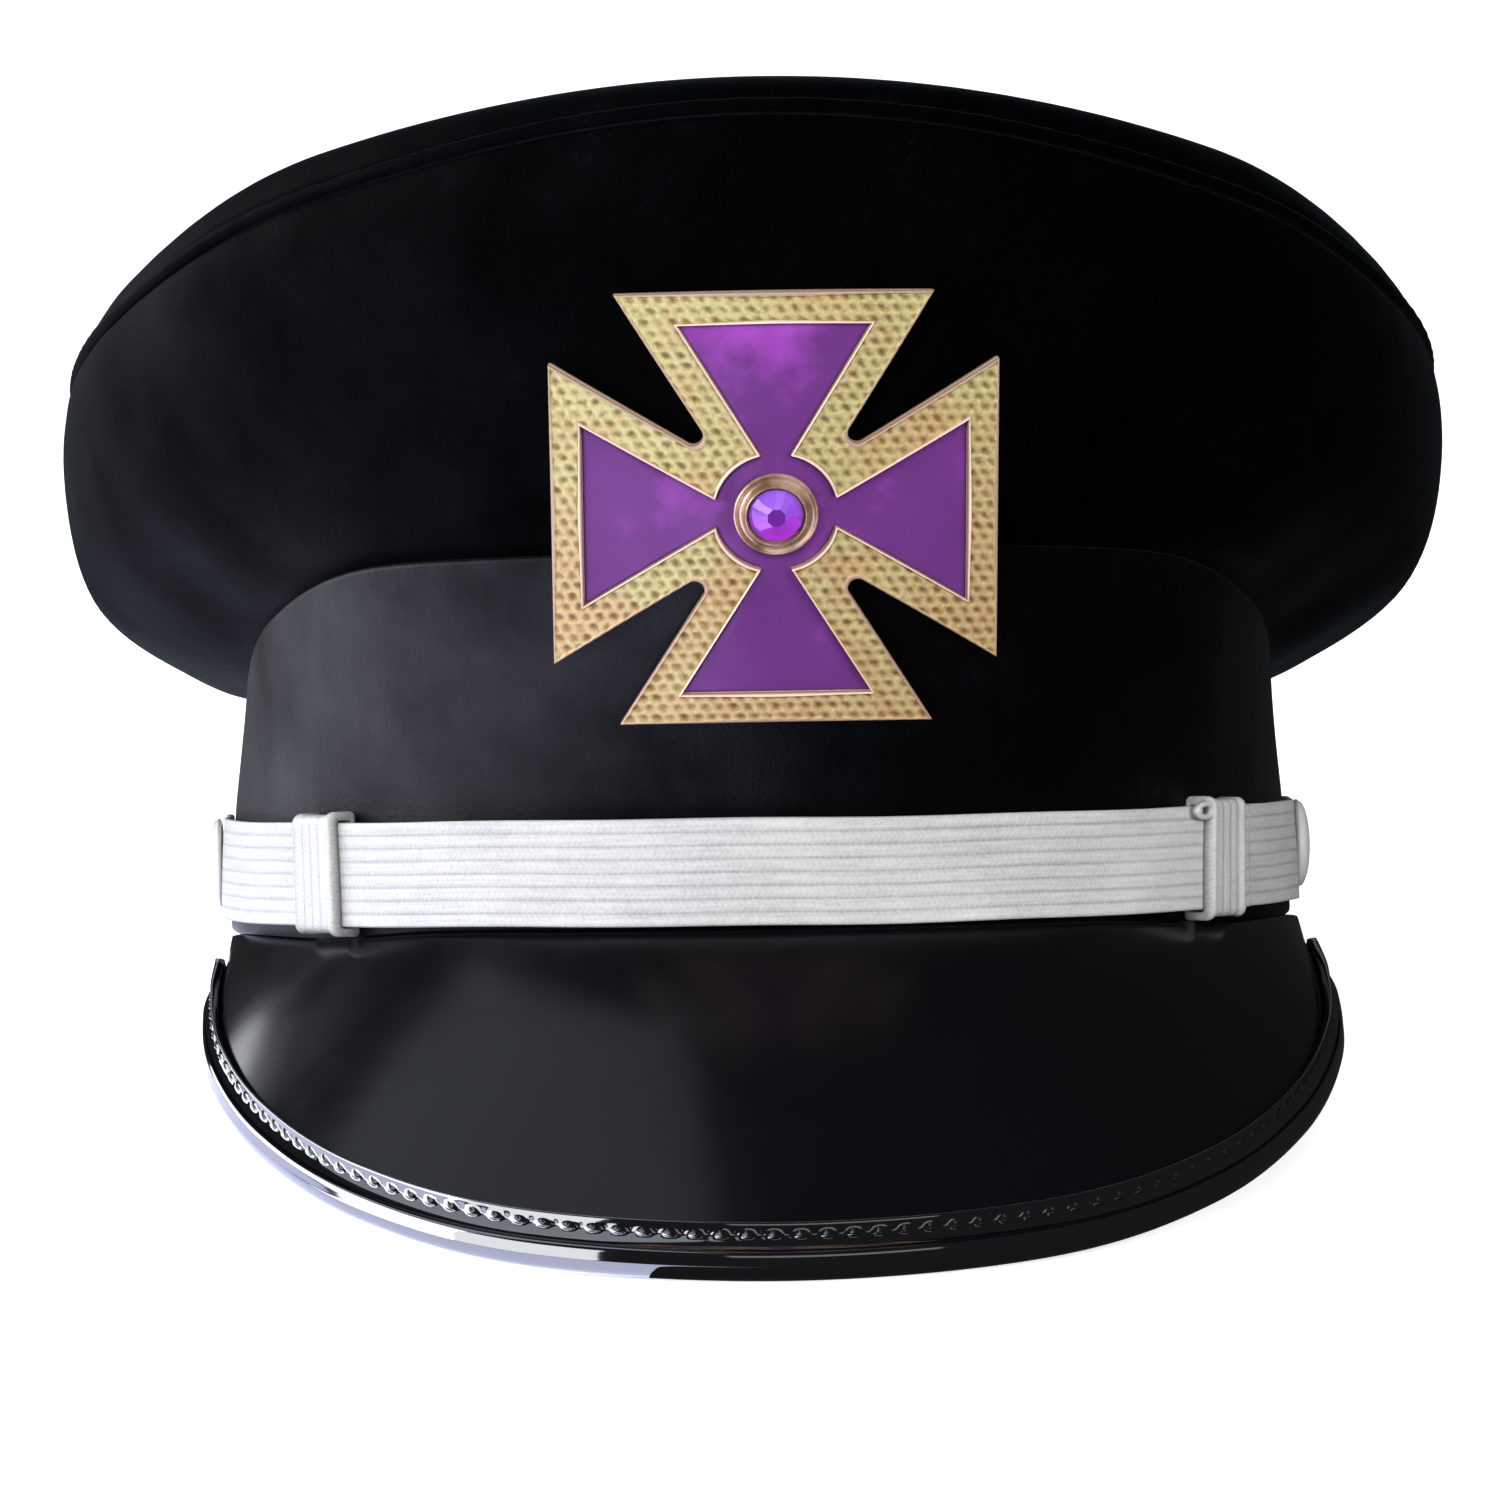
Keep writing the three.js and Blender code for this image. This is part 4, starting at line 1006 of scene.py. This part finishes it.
def badge_point(along, up, high):
    """The badge's curved face: an arc of a wide circle upwards, an arc of a narrower one across, and
    high steps out of both."""
    start = np.radians(BADGE_FACE["lean"])
    vert, wide = BADGE_FACE["vert_radius"], BADGE_FACE["round_radius"]
    tip, turn = start - up / vert, along / wide
    rise = vert * (np.sin(start) - np.sin(tip))
    reach = vert * (np.cos(tip) - np.cos(start))
    middle = wide - (OVAL["front"] + section("top_out", 0) + BADGE_FACE["clear"] + reach)
    level = wide + high * np.cos(tip)
    return np.stack([np.sin(turn) * level, middle - np.cos(turn) * level,
                     BADGE_FACE["height"] + rise - high * np.sin(tip)], -1)


def line(start, end, count):
    """Evenly spaced points from one end to the other."""
    return np.asarray(start) + np.linspace(0, 1, count)[:, None] * (np.asarray(end, float) - start)


def four_times(quarter):
    """A quarter of an outline, turned clockwise by quarter turns into the whole."""
    turned, whole = quarter, []
    for _ in range(4):
        whole.append(turned)
        turned = np.stack([turned[:, 1], -turned[:, 0]], -1)
    return np.concatenate(whole)


COUNTS = {"end": 170, "side": 150, "notch": 26}


def arms(end, arm, bend):
    """A cross's outline: an arm's end and flared side, the bend, and the next arm's side, four times."""
    return four_times(np.vstack([
        line([-arm, end], [arm, end], COUNTS["end"])[:-1], line([arm, end], bend[0], COUNTS["side"])[:-1],
        bend[:-1], line(bend[-1], [end, arm], COUNTS["side"])[:-1]]))


def cross_line():
    """The border's outer edge, with a round notch between the arms."""
    half, arm, r = BADGE["half"], BADGE["arm_half"], BADGE["notch_radius"]
    flare = np.radians(BADGE["flare"])
    notch = (r + arm * np.cos(flare) - half * np.sin(flare)) / (np.cos(flare) - np.sin(flare))
    bend = arc_line([notch, notch], r, 180 - BADGE["flare"], 270 + BADGE["flare"], COUNTS["notch"])
    return arms(half, arm, bend)


def inlay_line(grow=0.0):
    """The purple field's outline, its points matched to those of the cross."""
    middle, end = INLAY["middle_radius"] + grow, INLAY["reach"] + grow
    arm = INLAY["end_half"] + grow
    turn = np.degrees(np.arcsin((INLAY["neck_half"] + grow) / middle))
    return arms(end, arm, arc_line([0, 0], middle, 90 - turn, turn, COUNTS["notch"]))


def own_share(row, cell=0):
    """A value from 0 to 1 that is each cell's own: the fraction of a large multiple of a sine."""
    return np.mod(np.sin(row * 12.9898 + cell * 78.233) * 43758.5453, 1)


def bullion_height(x, y):
    """Staggered rows with a soft leaning hollow between each length and the next: one less a bell
    curve of the distance from the hollow's middle, along and across, of its own seeded depth."""
    row = np.floor(y / BULLION["row"])
    shifted = x / BULLION["length"] + 0.5 * np.mod(row, 2)
    cell = np.floor(shifted)
    s, t = 2 * (shifted - cell) - 1, 2 * (y / BULLION["row"] - row) - 1
    hollow = np.exp(-((s + HOLLOW["lean"] * t) / HOLLOW["long"])**2 - (t / HOLLOW["wide"])**2)
    return 1 - (HOLLOW["least"] + HOLLOW["spread"] * own_share(row, cell)) * hollow


def border_rows():
    """The border's section from its back round its outer edge, over the bullion and down to the
    purple field. Each row is a share of the way between the two outlines. Beside the points it
    returns how high the bullion stands at each, from 0 to 1, and where the plain wires run."""
    outer, inner = cross_line(), inlay_line(0.05)
    wide = np.linalg.norm(inner - outer, axis=-1)
    none = np.zeros(len(outer))
    rows = [(BORDER["tuck"], 0.0), (0.0, BORDER["lowest"]), (0.0, BADGE["thickness"] - BORDER["rim_drop"])]
    grid = [badge_point(*(outer + (inner - outer) * s).T, h) for s, h in rows]
    relief, wires = [none] * 3, [none, none, none + 1]
    for s in np.linspace(0, 1, 43):
        flat = outer + (inner - outer) * s
        from_outer, from_inner = s * wide, (1 - s) * wide
        edge = half_round(from_outer, WIRE["edge_radius"])
        wire = half_round(from_inner, WIRE["inner_radius"])
        inside = smooth_step(from_outer, 0.45, 0.9) * smooth_step(from_inner, 0.45, 0.8)
        stands = inside * bullion_height(*flat.T)
        wires_high = edge * WIRE["edge_high"] + wire * WIRE["inner_high"]
        high = BADGE["thickness"] - BORDER["face_drop"] + wires_high + stands * BULLION["rise"]
        grid.append(badge_point(*flat.T, high))
        relief.append(stands)
        wires.append(np.maximum(edge * 0.35, wire))
    grid += [badge_point(*inner.T, h) for h in (BADGE["thickness"] - BORDER["inner_drop"], BORDER["lowest"])]
    grid.append(badge_point(*(inner + (outer - inner) * BORDER["tuck"]).T, 0.0))
    relief += [none] * 3
    wires += [none + 1, none, none]
    return np.stack(grid), {"relief": np.concatenate(relief), "wire": np.concatenate(wires)}


def mixed_colour(tree, factor, first, second):
    """A mix of two colours, each a socket or a plain value, by a factor."""
    made = node(tree, "Mix", {"data_type": "RGBA"}, _0=factor)
    for index, value in ((6, first), (7, second)):
        if isinstance(value, bpy.types.NodeSocket):
            tree.links.new(value, made.inputs[index])
        else:
            made.inputs[index].default_value = (*value, 1)
    return made.outputs[2]


def up_the_badge(tree, first, last, start, end):
    """A value that goes from start to end as the height above the floor, in metres, goes from first
    to last."""
    height = node(tree, "SeparateXYZ", Vector=object_place(tree)).outputs["Z"]
    return node(tree, "MapRange", Value=height, _1=first, _2=last, _3=start, _4=end).outputs[0]


def bullion_material():
    """Gilt wire with a painted highlight on the tops of the lengths and painted shade in the hollows between
    them, patches worn to a redder gilt, most of them low on the badge, and plain pinkish wires along the
    edges."""
    material, tree, shader = plain_material("gold_bullion", (0.8, 0.64, 0.3), Roughness=0.4, Metallic=0.25,
                                            Specular_IOR_Level=0.35)
    fine = noise(tree, 1300, 3, Roughness=0.6)
    low = up_the_badge(tree, 0.135, 0.08, -0.06, 0.16)
    worn = math(tree, "ADD", noise(tree, 90, 4, Roughness=0.6), low)
    relief = node(tree, "Attribute", {"attribute_name": "relief"}).outputs["Fac"]
    wire = node(tree, "Attribute", {"attribute_name": "wire"}).outputs["Fac"]
    # The relief mask makes the colour dark in the hollows and pale on the tops: painted shade and painted
    # highlight.
    height = weighed(tree, (relief, 1), (math(tree, "SUBTRACT", fine, 0.5), 1.3))
    yellow, red = (shade(tree, height, *zip((0.05, 0.5, 1.0), colours)) for colours in (
        ((0.13, 0.09, 0.03), (0.25, 0.195, 0.075), (0.43, 0.375, 0.185)),
        ((0.16, 0.07, 0.026), (0.28, 0.155, 0.065), (0.43, 0.30, 0.155))))
    share = node(tree, "MapRange", Value=worn, _1=0.50, _2=0.66, _3=0.0, _4=0.8).outputs[0]
    gilt = mixed_colour(tree, share, yellow, red)
    paint(tree, shader, mixed_colour(tree, wire, gilt, (0.74, 0.52, 0.45)))
    marked_roughness(tree, shader, 0.34, 0.5, 240)
    bump(tree, shader, fine, 0.3, 0.08)
    return material


grid, masks = border_rows()
finish_piece("badge_border_bullion", skin(grid), bullion_material(), ["badge_border"],
             masks=masks)

# The field is one sheet of glossy purple foil, pressed into the border and slightly pillowed in each
# arm, with the faint dimples of its pressing.
def inlay_middle():
    """For each point of the outline, where its arm's middle line is beside it. The arm's end and the
    corners near it share one point, and the round middle's points share the centre."""
    inmost = INLAY["reach"] - 0.8 * INLAY["end_half"]
    end, side = COUNTS["end"] - 1, COUNTS["side"] - 1
    neck = inlay_line()[end + side, 1]
    along = np.minimum(np.linspace(INLAY["reach"], neck, side + 1), inmost)
    line_up = np.concatenate([np.full(end, inmost), along[:-1]])
    before = np.stack([0 * line_up, line_up], -1)
    after = np.stack([along[::-1], 0 * along], -1)[:-1]
    around = np.zeros((COUNTS["notch"] - 1, 2))
    around[0] = [0, neck]
    return four_times(np.vstack([before, around, after]))


def inlay_rows():
    """Rows along the flat back from the middle lines to the outline, and back over a face that rounds
    down over its last millimetre and undulates in two slow waves. Each row of the edge's table is a
    share of the way to the middle line and a height."""
    edge, middle = inlay_line(), inlay_middle()
    face = [(share, INLAY["thickness"]) for share in np.linspace(0.1, 1, 18)]
    grid = [badge_point(*middle.T, 0.0)]
    for s, h in [*FOIL_EDGE, *face]:
        x, y = (edge + (middle - edge) * s).T
        wave = 0.10 * np.sin(x / 4.1 + 0.6) * np.cos(y / 5.3 - 0.4) + 0.05 * np.sin(x / 1.9 + y / 2.3)
        grid.append(badge_point(x, y, h + wave * smooth_step(s, 0.01, 0.2)))
    return np.stack(grid)


def foil_material():
    """Purple foil under a clear lacquer, brighter in soft patches, and brighter towards the top of the badge
    as painted light.
    """
    material, tree, shader = plain_material(
        "purple_foil", (0.17, 0.04, 0.28), Roughness=0.3, Metallic=0.05, Specular_IOR_Level=0.14,
        Coat_Weight=0.03, Coat_Roughness=0.08)
    # The height ramp brightens the foil towards the top arm: painted light.
    high = up_the_badge(tree, 0.112, 0.135, 0.0, 0.22)
    bright = math(tree, "ADD", noise(tree, 62, 4, Roughness=0.6), high)
    paint(tree, shader, shade(tree, bright, (0.35, (0.085, 0.021, 0.125)), (0.60, (0.100, 0.025, 0.145)),
                              (0.84, (0.24, 0.046, 0.33))))
    marked_roughness(tree, shader, 0.22, 0.42, 120)
    return material


finish_piece("badge_inlay_foil", skin(inlay_rows(), False), foil_material(), ["badge_inlay"])

# The setting is a spun cup of copper-gold, with a fine outer edge, a hollow and a bright lip that is
# rubbed over the stone.
badge_foot = badge_point(0.0, 0.0, 1.4)
badge_axis = badge_point(0.0, 0.0, 2.4) - badge_foot


def setting_profile():
    """Up the outer edge, down into the hollow, over the lip and down into the cup's floor."""
    return through_evenly(np.array([
        [0, 0.02], [3.0, 0.02], [5.6, 0.05], [6.02, 0.35], [6.02, 0.85], [5.82, 1.02], [5.55, 0.85],
        [5.2, 0.72], [4.85, 0.95], [4.6, 1.5], [4.4, 1.86], [4.22, 1.86], [4.14, 1.55], [4.12, 0.7],
        [2.0, 0.55], [0, 0.55]]), np.linspace(0, 1, 91))


copper, copper_tree, copper_shader = plain_material("copper_gold", (0.8, 0.55, 0.4), Roughness=0.3,
                                                    Metallic=0.7)
marked_roughness(copper_tree, copper_shader, 0.24, 0.45, 300)
tarnish = noise(copper_tree, 180, 3)
paint(copper_tree, copper_shader, shade(
    copper_tree, tarnish, (0.38, (0.24, 0.13, 0.075)), (0.62, (0.66, 0.45, 0.35))))
profile = setting_profile()
profile[:, 0] = np.clip(profile[:, 0], 0, None)
profile[[0, -1], 0] = 0
cup = lathe(profile, badge_foot, badge_axis, 96)
finish_piece("jewel_setting_cup", cup, copper, ["jewel_setting"])

# The stone is a cut violet glass: an eight-sided table, kite facets with star facets between them,
# and a ring of small facets down to its girdle. Its back is a foiled cone.
STONE = {"table": 1.35, "table_high": 1.9, "kite": 2.7, "kite_high": 1.25, "girdle": 3.9, "girdle_high": 0.6,
         "girdle_thick": 0.2, "seat": 0.55}


def stone_mesh():
    """Rings of eight table corners, eight kite corners turned by half a step, sixteen girdle points
    and the cone's tip, joined by flat triangles."""
    def ring(radius, high, count, shift):
        """So many points round a circle at a height, turned by a share of a step."""
        turn = (np.arange(count) + shift) * 2 * np.pi / count
        return np.stack([radius * np.cos(turn), radius * np.sin(turn), np.full(count, high)], -1)
    table = ring(STONE["table"], STONE["table_high"], 8, 0.5)
    kite = ring(STONE["kite"], STONE["kite_high"], 8, 0.0)
    girdle = ring(STONE["girdle"], STONE["girdle_high"], 16, 0.0)
    base = ring(STONE["girdle"], STONE["girdle_high"] - STONE["girdle_thick"], 16, 0.0)
    local = np.vstack([table, kite, girdle, base, [[0, 0, STONE["table_high"]], [0, 0, 0.0]]])
    k, g = np.arange(8), np.arange(16)
    table_at, kite_at, girdle_at, base_at = 0, 8, 16, 32
    above, below = 48, 49
    t, m, rim_at = table_at + k, kite_at + k, girdle_at + 2 * k
    between = girdle_at + 2 * k + 1
    before = girdle_at + (2 * k - 1) % 16
    next_g = (g + 1) % 16
    triangles = np.vstack([np.stack(np.broadcast_arrays(*three), -1) for three in (
        (above, t, table_at + (k + 1) % 8), (table_at + (k - 1) % 8, t, m),
        (t, m, between), (t, between, kite_at + (k + 1) % 8), (m, rim_at, between), (m, before, rim_at),
        (girdle_at + g, base_at + g, base_at + next_g), (girdle_at + g, base_at + next_g, girdle_at + next_g),
        (base_at + g, below, base_at + next_g))])
    return local, triangles


def stone_solid(local, triangles, name, material, slot, replaces):
    """Stands flat facets on the badge: local x, y and height become two level directions and the
    badge's axis. Each facet is turned to point away from the stone's middle, and gets a tone painted by
    which way it faces, a painted reflection and shade: the table darkest, upward facets lavender and
    downward ones magenta, with a small seeded random part."""
    frame_axes = axis_frame(badge_axis)
    points = badge_foot + local @ frame_axes + frame_axes[2] * STONE["seat"]
    a, b, c = (points[triangles[:, i]] for i in range(3))
    inside = points.mean(0)
    flip = np.sum(np.cross(b - a, c - a) * (a - inside), -1) < 0
    triangles = np.where(flip[:, None], triangles[:, ::-1], triangles)
    piece = put_mesh(name, stood(points), triangles, False)
    way = unit(np.cross(b - a, c - a) * np.where(flip, -1, 1)[:, None]) @ frame_axes.T
    # A painted reflection and shade on each facet, by which way it faces, with a small random part.
    painted_light_by_facing = np.where(way[:, 2] > 0.95, 0.0, 0.5 + 0.35 * way[:, 1] * np.sign(frame_axes[1, 2]))
    painted_facet_light = (painted_light_by_facing + 0.14 * (own_share(np.arange(len(triangles))) - 0.5)).astype(np.float32)
    piece.data.attributes.new("facet", "FLOAT", "FACE").data.foreach_set("value", painted_facet_light)
    piece.data.materials.append(material)
    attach(piece, "root")
    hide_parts(*replaces)


glass, glass_tree, glass_shader = plain_material("violet_glass", (0.42, 0.07, 0.72), Roughness=0.04,
                                                 Metallic=0.1, IOR=1.6)
# The facet tones paint reflection and shade: the table dark, lower facets magenta, upper ones lavender.
facet = node(glass_tree, "Attribute", {"attribute_name": "facet"}).outputs["Fac"]
paint(glass_tree, glass_shader, shade(
    glass_tree, facet, (0.06, (0.10, 0.015, 0.22)), (0.25, (0.47, 0.035, 0.68)),
    (0.5, (0.22, 0.04, 0.46)), (0.8, (0.18, 0.09, 0.48))))
stone_solid(*stone_mesh(), "jewel_stone", glass, "violet_stone", ["jewel"])
